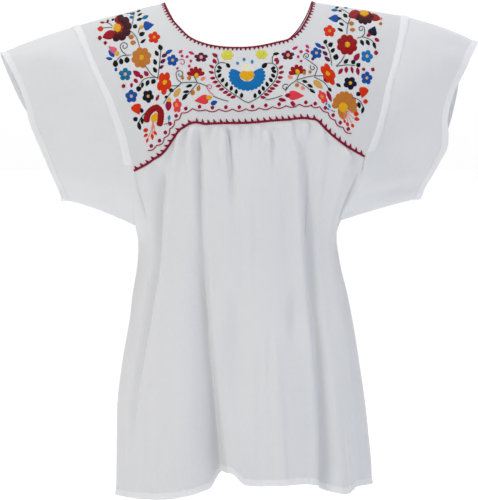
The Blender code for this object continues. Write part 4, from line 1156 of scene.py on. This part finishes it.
def thread_round(points, outward, radius, sides, ply, ply_pitch):
    """A round cord along points, and its thread places; ply gives it the ridges of twisted strands."""
    along = unit(np.gradient(points, axis=0))
    aside = unit(np.cross(along, outward))
    up = np.cross(aside, along)
    distance = run_length(points)[:, None]
    a = np.linspace(0, 2 * math.pi, sides + 1)[None, :]
    swell = radius * (1 + ply * np.cos(2 * (a - 2 * math.pi * distance / ply_pitch)))
    around = np.cos(a)[..., None] * aside[:, None] + np.sin(a)[..., None] * up[:, None]
    places = np.stack([np.broadcast_to(distance, swell.shape), np.broadcast_to(a * radius, swell.shape)], -1)
    return points[:, None] + around * swell[..., None], places


def lay_cord(work, flat, radius, height, thread, sides, ply, ply_pitch):
    """A cord laid along flat places on the yoke, its middle at a height above the cloth."""
    above = [yoke_face(*flat.T, np.full(len(flat), lift)) for lift in (MM, height)]
    outward = unit(above[0] - on_shoulders(*flat.T))
    work.add_grid(*thread_round(above[1], outward, radius, sides, ply, ply_pitch), thread)


def sew_line(work, flat, half_width, thread):
    """A stem stitched along flat places on the yoke."""
    lay_cord(work, flat, half_width, half_width * 0.2, thread, sides=6, ply=0.12, ply_pitch=5 * MM)


def curl(x, z, radius, start, turn):
    """A line that winds in to a point, seen from the front in mm."""
    t = np.linspace(0, 1, max(24, int(abs(turn) / 10)))
    a = np.radians(start + turn * t)
    reach = radius * (1 - 0.75 * t)
    return np.stack([x + reach * np.cos(a), z + reach * np.sin(a)], -1)


def garland_leaves():
    """Leaves by thread along both sides of the garland's stem, the outer ones crimson and the inner ones green."""
    rows = {thread: [] for thread, *_ in GARLAND_LEAVES}
    for side, places in GARLAND.items():
        dense = through(places, 0.5)
        for thread, count, first, last, away_low, away_high, length, width in GARLAND_LEAVES:
            for share in np.linspace(first, last, count):
                at = int(share * (len(dense) - 3))
                ahead = dense[at + 2] - dense[at]
                away = away_low + (away_high - away_low) * share
                turn = math.degrees(math.atan2(ahead[1], ahead[0])) - side * away
                middle = dense[at] + np.array(turned_by(length * 0.5 + 1.6, 0.0, turn))
                rows[thread].append((*middle, turn, length, width))
    return rows


def scalloped_line():
    """Flat places on the scalloped line above the front yoke seam, and of the knots above its sags."""
    seam = EDGE[columns_of(1)]
    share = run_length(seam) / run_length(seam)[-1]
    base = even(seam + smooth(SCALLOP_INSET, share)[:, None] * MM * left_of(seam), SCALLOP_SAMPLES)
    first, last = (int(share * SCALLOP_SAMPLES) for share in SCALLOP_ENDS)
    base = base[first:last]
    steps = np.diff(run_length(base)) / (smooth(SCALLOP_PITCH, np.linspace(*SCALLOP_ENDS, last - first))[1:] * MM)
    turns = np.concatenate(([0.0], np.cumsum(steps)))
    count = round(turns[-1])
    turns *= count / turns[-1]
    inward = left_of(base)
    line = base - inward * (SCALLOP_SAG * np.abs(np.sin(math.pi * turns)))[:, None]
    middles = np.interp(np.arange(count) + 0.5, turns, np.arange(len(turns))).astype(int)
    return line[::3], base[middles] + inward[middles] * SCALLOP_KNOT_RISE


def crochet_edging(name, edge, radius, inset, inward, picot, finishes):
    """A twisted cord along an edge of the yoke, with picots that point over the cloth.

    inward is 1 where the cloth lies to the left of the edge's way and -1 where it lies to the right. The cord lies
    inset from the edge.
    """
    work = Needlework()
    dense = even(edge, int(run_length(edge)[-1] / (0.8 * MM)))
    across = left_of(dense) * inward
    cord = dense + across * inset
    lay_cord(work, cord, radius, radius * 0.25, "crochet", sides=8, ply=0.16, ply_pitch=6 * MM)
    pitch, foot, tip, lean, reach, height = picot
    length = run_length(dense)
    count = round(length[-1] / (pitch * MM))
    tangent = unit(np.gradient(dense, axis=0))
    s, v = np.meshgrid(np.linspace(0, 1, 9), np.linspace(-1, 1, 7), indexing="ij")
    half = (foot + (tip - foot) * s) * MM * np.clip((1.04 - s) / 0.16, 0, 1) ** 0.5
    aside, ahead = v * half - lean * MM * s, reach * MM * s
    lift = (height * np.sqrt(np.clip(1 - v**2, 0, 1)) * (1 - 0.55 * s) - 0.15) * MM
    for number in range(count):
        at = int(np.interp((number + 0.5) / count * length[-1], length, np.arange(len(length))))
        spot = dense[at] + ahead[..., None] * across[at] + aside[..., None] * tangent[at]
        work.add_grid(yoke_face(spot[..., 0], spot[..., 1], lift), np.stack([v * half, ahead], -1), "crochet")
    return work.finish(name, finishes, "crochet")


# Sizes and colours that a user would change

class BlouseCloth(bpy.types.PropertyGroup):
    """The cotton of the blouse."""
    cotton: FloatVectorProperty(
        name="Cotton", description="Colour of the cloth where the yarn is thick", subtype="COLOR", size=3,
        default=linear("#CCCED1"), min=0.0, max=1.0,
    )
    cotton_thin: FloatVectorProperty(
        name="Thin cotton", description="Colour of the cloth where the yarn is thin", subtype="COLOR", size=3,
        default=linear("#BFC2C8"), min=0.0, max=1.0,
    )
    weave_pitch: FloatProperty(
        name="Weave pitch", description="Distance between the yarns that show", default=1.7 * MM, unit="LENGTH",
        min=0.3 * MM, max=5 * MM,
    )


class BlouseTrim(bpy.types.PropertyGroup):
    """The embroidery and the crocheted edgings."""
    crochet: FloatVectorProperty(
        name="Crochet thread", description="Colour of the crocheted edgings", subtype="COLOR", size=3,
        default=linear("#840630"), min=0.0, max=1.0,
    )
    pad: FloatProperty(
        name="Stitch height", description="How far the satin stitches stand above the cloth", default=0.7 * MM,
        unit="LENGTH", min=0.2 * MM, max=2 * MM,
    )
    strand: FloatProperty(
        name="Strand pitch", description="Distance between the strands that show", default=1.3 * MM, unit="LENGTH",
        min=0.3 * MM, max=3 * MM,
    )
    stem: FloatProperty(
        name="Stem thickness", description="Width of the stem stitches", default=1.1 * MM, unit="LENGTH",
        min=0.4 * MM, max=3 * MM,
    )
    neck_cord: FloatProperty(
        name="Neck cord", description="Thickness of the cord round the neck", default=2.3 * MM, unit="LENGTH",
        min=1.0 * MM, max=4 * MM,
    )
    seam_cord: FloatProperty(
        name="Seam cord", description="Thickness of the cord over the yoke seam", default=3.2 * MM, unit="LENGTH",
        min=1.0 * MM, max=4 * MM,
    )


class BlouseStudio(bpy.types.PropertyGroup):
    """The plain studio."""
    world_light: FloatProperty(
        name="Room light", description="Strength of the even light all round", default=1.0, min=0.0, max=4.0,
    )
    side_light: FloatProperty(
        name="Side light", description="Share of the room light between the walls and the overhead box",
        default=0.13, min=0.0, max=1.0,
    )
    key_power: FloatProperty(
        name="Key light", description="Power of the large soft light at the left", default=35.0, unit="POWER",
        min=0.0, max=500.0,
    )
    fill_power: FloatProperty(
        name="Fill light", description="Power of the cooler soft light at the right", default=15.0, unit="POWER",
        min=0.0, max=500.0,
    )
    overhead_power: FloatProperty(
        name="Overhead light", description="Strength of the light from straight above", default=1.5, min=0.0, max=10.0,
    )
    floor_drop: FloatProperty(
        name="Floor", description="How far the floor lies below the shoulder line", default=1.0, unit="LENGTH",
        min=0.75, max=3.0,
    )


def looking(name, data, place):
    """An object in the scene that looks at the middle of the blouse."""
    made = bpy.data.objects.new(name, data)
    made.location = place
    made.rotation_euler = (LOOK_AT - Vector(place)).to_track_quat("-Z", "Y").to_euler()
    bpy.context.scene.collection.objects.link(made)
    return made


def room_light(studio):
    """A white room: walls at eye level, a large soft box overhead and less light between them."""
    world = bpy.data.worlds.new("Pale studio")
    world.use_nodes = True
    tree = world.node_tree
    way = add_node(tree, "ShaderNodeTexCoord", {}).outputs["Generated"]
    rise = add_node(tree, "ShaderNodeSeparateXYZ", {"Vector": way}).outputs["Z"]
    room = add_node(tree, "ShaderNodeFloatCurve", {"Value": rise})
    # Shares of the room light, from level to straight up. The curve ends at 1, so it holds half of each share
    curve = room.mapping.curves[0]
    curve.points[0].location, curve.points[1].location = (0.0, 0.5), (1.0, 0.5)
    for height, share in ((0.1, 1.0), (0.2, studio.side_light), (0.62, studio.side_light), (0.8, 1.2)):
        curve.points.new(height, share / 2)
    room.mapping.update()
    strength = add_node(tree, "ShaderNodeMath", {
        0: room.outputs["Value"], 1: 2 * studio.world_light,
    }, operation="MULTIPLY")
    sky = tree.nodes["Background"]
    sky.inputs["Color"].default_value = (1.0, 1.0, 1.0, 1.0)
    tree.links.new(strength.outputs[0], sky.inputs["Strength"])
    return world


def round_floor(drop):
    """A wide round floor, so pale and matt that it melts into the white room."""
    n = FLOOR_SIDES
    turn = np.linspace(0, 2 * math.pi, n + 1)[:-1]
    points = [(r * math.cos(a), r * math.sin(a), -drop) for r in FLOOR_RINGS for a in turn]
    faces = [
        (k * n + i, k * n + (i + 1) % n, (k + 1) * n + (i + 1) % n, (k + 1) * n + i)
        for k in range(len(FLOOR_RINGS) - 1) for i in range(n)
    ]
    mesh = bpy.data.meshes.new("studio_floor")
    mesh.from_pydata(points, [], faces)
    paint, tree, shader = new_finish("Pale painted floor", roughness=0.8, specular=0.2)
    grain = add_node(tree, "ShaderNodeTexNoise", {"Scale": 9.0, "Detail": 2.0})
    coloured(tree, shader, grain.outputs["Fac"], linear("#F8F8F9"), linear("#FAFAFB"))
    mesh.materials.append(paint)
    made = bpy.data.objects.new("studio_floor", mesh)
    bpy.context.scene.collection.objects.link(made)
    return made


class BLOUSE_OT_stage(bpy.types.Operator):
    """Makes the floor, the soft lights and the camera"""
    bl_idname = "blouse.stage"
    bl_label = "Make the studio"

    def execute(self, context):
        studio = context.scene.blouse_studio
        context.scene.view_settings.view_transform = "Standard"
        context.scene.world = room_light(studio)
        floor = round_floor(studio.floor_drop)
        for name, place, size, setting, share, colour in LAMPS:
            lamp = bpy.data.lights.new(name, "AREA")
            lamp.shape, lamp.size, lamp.color = "DISK", size, linear(colour)
            lamp.energy = getattr(studio, setting) * share
            looking(name, lamp, place)
        overhead = bpy.data.lights.new("Overhead light", "SUN")
        overhead.energy, overhead.angle = studio.overhead_power, math.radians(OVERHEAD_SPREAD)
        context.scene.collection.objects.link(bpy.data.objects.new("Overhead light", overhead))
        lens = bpy.data.cameras.new("Photo camera")
        lens.lens = CAMERA_LENS
        context.scene.camera = looking("Photo camera", lens, CAMERA_PLACE)
        return {"FINISHED"}


class BLOUSE_OT_cloth(bpy.types.Operator):
    """Makes the yoke, the gathered front and back panels and both sleeves"""
    bl_idname = "blouse.cloth"
    bl_label = "Cut and sew the cloth"

    def execute(self, context):
        colours = context.scene.blouse_cloth
        plain = cotton_muslin("Washed cotton muslin", colours, 1.0)
        # Two layers let less of the dark inside through, so hems and seam folds look whiter; their lighter colour is
        # also a painted highlight, for the light that the raised hems and folds catch
        twofold_with_highlight = cotton_muslin("Doubled cotton muslin with painted highlight", colours, 1.1)
        # Painted light: the inside is drawn as light as paper, for the daylight that comes through the thin cloth
        inside = cotton_muslin("Inside of cotton muslin with painted through-light", colours, 1.45)
        # Nothing shines through the far side of a sleeve, so its inside is in shade
        shaded = cotton_muslin("Shaded inside of cotton muslin", colours, 1.16)
        # The embroidered yoke's cotton is drawn a little greyer than the rest
        greyer_yoke = cotton_muslin("Greyer cotton muslin of the yoke", colours, 0.93)
        holes = {
            "right_sleeve": (RIGHT_FRONT, RIGHT_FRONT_LOWER, RIGHT_BACK, RIGHT_BACK_LOWER),
            "left_sleeve": (LEFT_FRONT, LEFT_FRONT_LOWER, LEFT_BACK, LEFT_BACK_LOWER),
        }
        lines = {node: armhole(*parts) for node, parts in holes.items()}
        front_top = np.concatenate([LEFT_FRONT_LOWER[:0:-1], FRONT_TOP, RIGHT_FRONT_LOWER[1:]])
        back_top = np.concatenate([RIGHT_BACK_LOWER[:0:-1], BACK_TOP, LEFT_BACK_LOWER[1:]])
        grids = {
            "yoke": (YOKE, True),
            "front_panel": (body_grid(front_top, FRONT_GATHERS), False),
            "back_panel": (body_grid(back_top, BACK_GATHERS), False),
            "right_sleeve": (sleeve_grid(*lines["right_sleeve"], RIGHT_SLEEVE, RIGHT_SLEEVE_FOLDS), True),
            "left_sleeve": (sleeve_grid(*lines["left_sleeve"], LEFT_SLEEVE, LEFT_SLEEVE_FOLDS), True),
        }
        sheets = {node: (grid, closed, facing(grid, closed)) for node, (grid, closed) in grids.items()}
        share_seams(sheets)
        for node, (grid, closed, direction) in sheets.items():
            up, down = run_up(grid), run_down(grid)
            if node == "yoke":
                lift, doubled, finishes = np.zeros_like(up), np.zeros_like(up, bool), [greyer_yoke, twofold_with_highlight, inside]
            elif node in holes:
                share = lines[node][1]
                lift = hem_raise(up, grid[..., 2]) + fold_raise(down, share)
                # The fold along the seam is doubled beside the yoke, and not below it
                beside, below = (run_length(part)[-1] for part in holes[node][:2])
                folded = (down < FOLD_WIDTH + FOLD_EDGE / 2) & (np.abs(share) < beside / (beside + below))
                doubled, finishes = folded | (up < HEM_WIDTH), [plain, twofold_with_highlight, shaded]
            else:
                lift, doubled, finishes = hem_raise(up, grid[..., 0]), up < HEM_WIDTH, [plain, twofold_with_highlight, inside]
            sheet, width, length, area = shell("cotton_" + node, grid, direction, closed, lift, doubled, finishes)
            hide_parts(node)
        return {"FINISHED"}


class BLOUSE_OT_edgings(bpy.types.Operator):
    """Crochets the cords and picots round the neck and over the yoke seams"""
    bl_idname = "blouse.edgings"
    bl_label = "Crochet the edgings"

    def execute(self, context):
        trim = context.scene.blouse_trim
        cotton = dyed_thread("Mercerised crochet cotton", tuple(trim.crochet), 1.0 * MM, roughness=0.42, twist=0.6)
        finishes = {"crochet": cotton}
        for name, node, span in EDGINGS:
            if span is None:
                line = neck_at(np.linspace(0, 2 * math.pi, NECK_SAMPLES))
                made = crochet_edging(name, line, trim.neck_cord / 2, 0.0, -1, NECK_PICOT, finishes)
            else:
                line = EDGE[columns_of(span)]
                made = crochet_edging(name, line, trim.seam_cord / 2, SEAM_CORD_INSET, 1, SEAM_PICOT, finishes)
            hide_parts(node)
            made.parent = bpy.data.objects["cotton_yoke"]
        return {"FINISHED"}


class BLOUSE_OT_embroidery(bpy.types.Operator):
    """Embroiders the flowers, leaves, stems, garland and scalloped line on the yoke"""
    bl_idname = "blouse.embroidery"
    bl_label = "Embroider the yoke"

    def execute(self, context):
        trim = context.scene.blouse_trim
        finishes = {
            name: dyed_thread(f"Satin stitched {name} cotton", linear(shade), trim.strand)
            for name, shade in THREADS.items()
        }
        stitch = trim.pad / MM
        leaves, flowers, stems, scallops = (Needlework() for _ in range(4))
        for table, form in (
            (LEAVES, LEAF_FORM), (KNOTS, KNOT_FORM), (BUDS, BUD_FORM), (garland_leaves(), LEAF_FORM),
        ):
            for thread, rows in table.items():
                for x, z, turn, length, width in rows:
                    leaves.stitch(leaf_grid(length, width, turn, form, stitch), x, z, thread)
        for x, z, width, height, petals, turn, tilt, thread, heart in FLOWERS:
            notch = FIVE_PETAL_NOTCH if petals == 5 else MANY_PETAL_NOTCH
            across, up, lift, places = flower_grid(width, height, petals, turn, stitch * PETAL_HEIGHT, notch)
            flowers.stitch((*turned_by(across, up, tilt), lift, places), x, z, thread)
            core = width * HEART_SHARE
            flowers.stitch(flower_grid(core, core, 1, 0, stitch * HEART_HEIGHT, 0.0), x, z, heart)
        for x, z, wide, high, start, end, lobes, open_share, notch, thread in FANS:
            lift = stitch * FAN_HEIGHT
            grid = flower_grid(wide * 2, high * 2, lobes, 0, lift, notch, open_share, start, end - start)
            flowers.stitch(grid, x, z, thread)
        for half_width, thread, *places in BANDS:
            flowers.stitch(band_grid(places, half_width, stitch * PETAL_HEIGHT), 0.0, 0.0, thread)
        lines = [(thread, through(places, 1.2)) for thread, rows in STEMS.items() for places in rows]
        lines += [(thread, curl(*row)) for thread, rows in CURLS.items() for row in rows]
        lines += [("stem green", through(places, 1.2)) for places in GARLAND.values()]
        for thread, line in lines:
            x, z = line.T * MM
            sew_line(stems, np.stack([x, along_cloth(x, z, 1)], -1), trim.stem / 2, thread)
        line, knots = scalloped_line()
        sew_line(scallops, line, SCALLOP_THICKNESS / 2, "crimson")
        for x, _, z in on_shoulders(*knots.T) / MM:
            knot = leaf_grid(*SCALLOP_KNOT, SCALLOP_KNOT_TURN, SCALLOP_KNOT_FORM, stitch)
            scallops.stitch(knot, x, z, "crimson")
        for name, work in (
            ("embroidered_leaves", leaves), ("embroidered_flowers", flowers), ("embroidered_stems", stems),
            ("embroidered_scallops", scallops),
        ):
            work.finish(name, finishes, "cotton").parent = bpy.data.objects["cotton_yoke"]
        return {"FINISHED"}


class BLOUSE_PT_panel(bpy.types.Panel):
    """Shows the settings of the cloth, trim and studio, and the buttons that make the blouse"""
    bl_idname = "BLOUSE_PT_panel"
    bl_label = "Peasant Blouse"
    bl_space_type = "VIEW_3D"
    bl_region_type = "UI"
    bl_category = "Blouse"

    def draw(self, context):
        for group in (context.scene.blouse_cloth, context.scene.blouse_trim, context.scene.blouse_studio):
            box = self.layout.box()
            for name in group.bl_rna.properties.keys():
                if name not in ("rna_type", "name"):
                    box.prop(group, name)
        for each in OPERATORS:
            self.layout.operator(each.bl_idname)


GROUPS = (("blouse_cloth", BlouseCloth), ("blouse_trim", BlouseTrim), ("blouse_studio", BlouseStudio))
OPERATORS = (BLOUSE_OT_stage, BLOUSE_OT_cloth, BLOUSE_OT_edgings, BLOUSE_OT_embroidery)


def register():
    for name, group in GROUPS:
        bpy.utils.register_class(group)
        setattr(bpy.types.Scene, name, PointerProperty(type=group))
    for each in (*OPERATORS, BLOUSE_PT_panel):
        bpy.utils.register_class(each)


def unregister():
    for each in (BLOUSE_PT_panel, *reversed(OPERATORS)):
        bpy.utils.unregister_class(each)
    for name, group in reversed(GROUPS):
        delattr(bpy.types.Scene, name)
        bpy.utils.unregister_class(group)


def main():
    register()
    bpy.ops.blouse.stage()
    bpy.ops.blouse.cloth()
    bpy.ops.blouse.edgings()
    bpy.ops.blouse.embroidery()


if __name__ == "__main__":
    main()
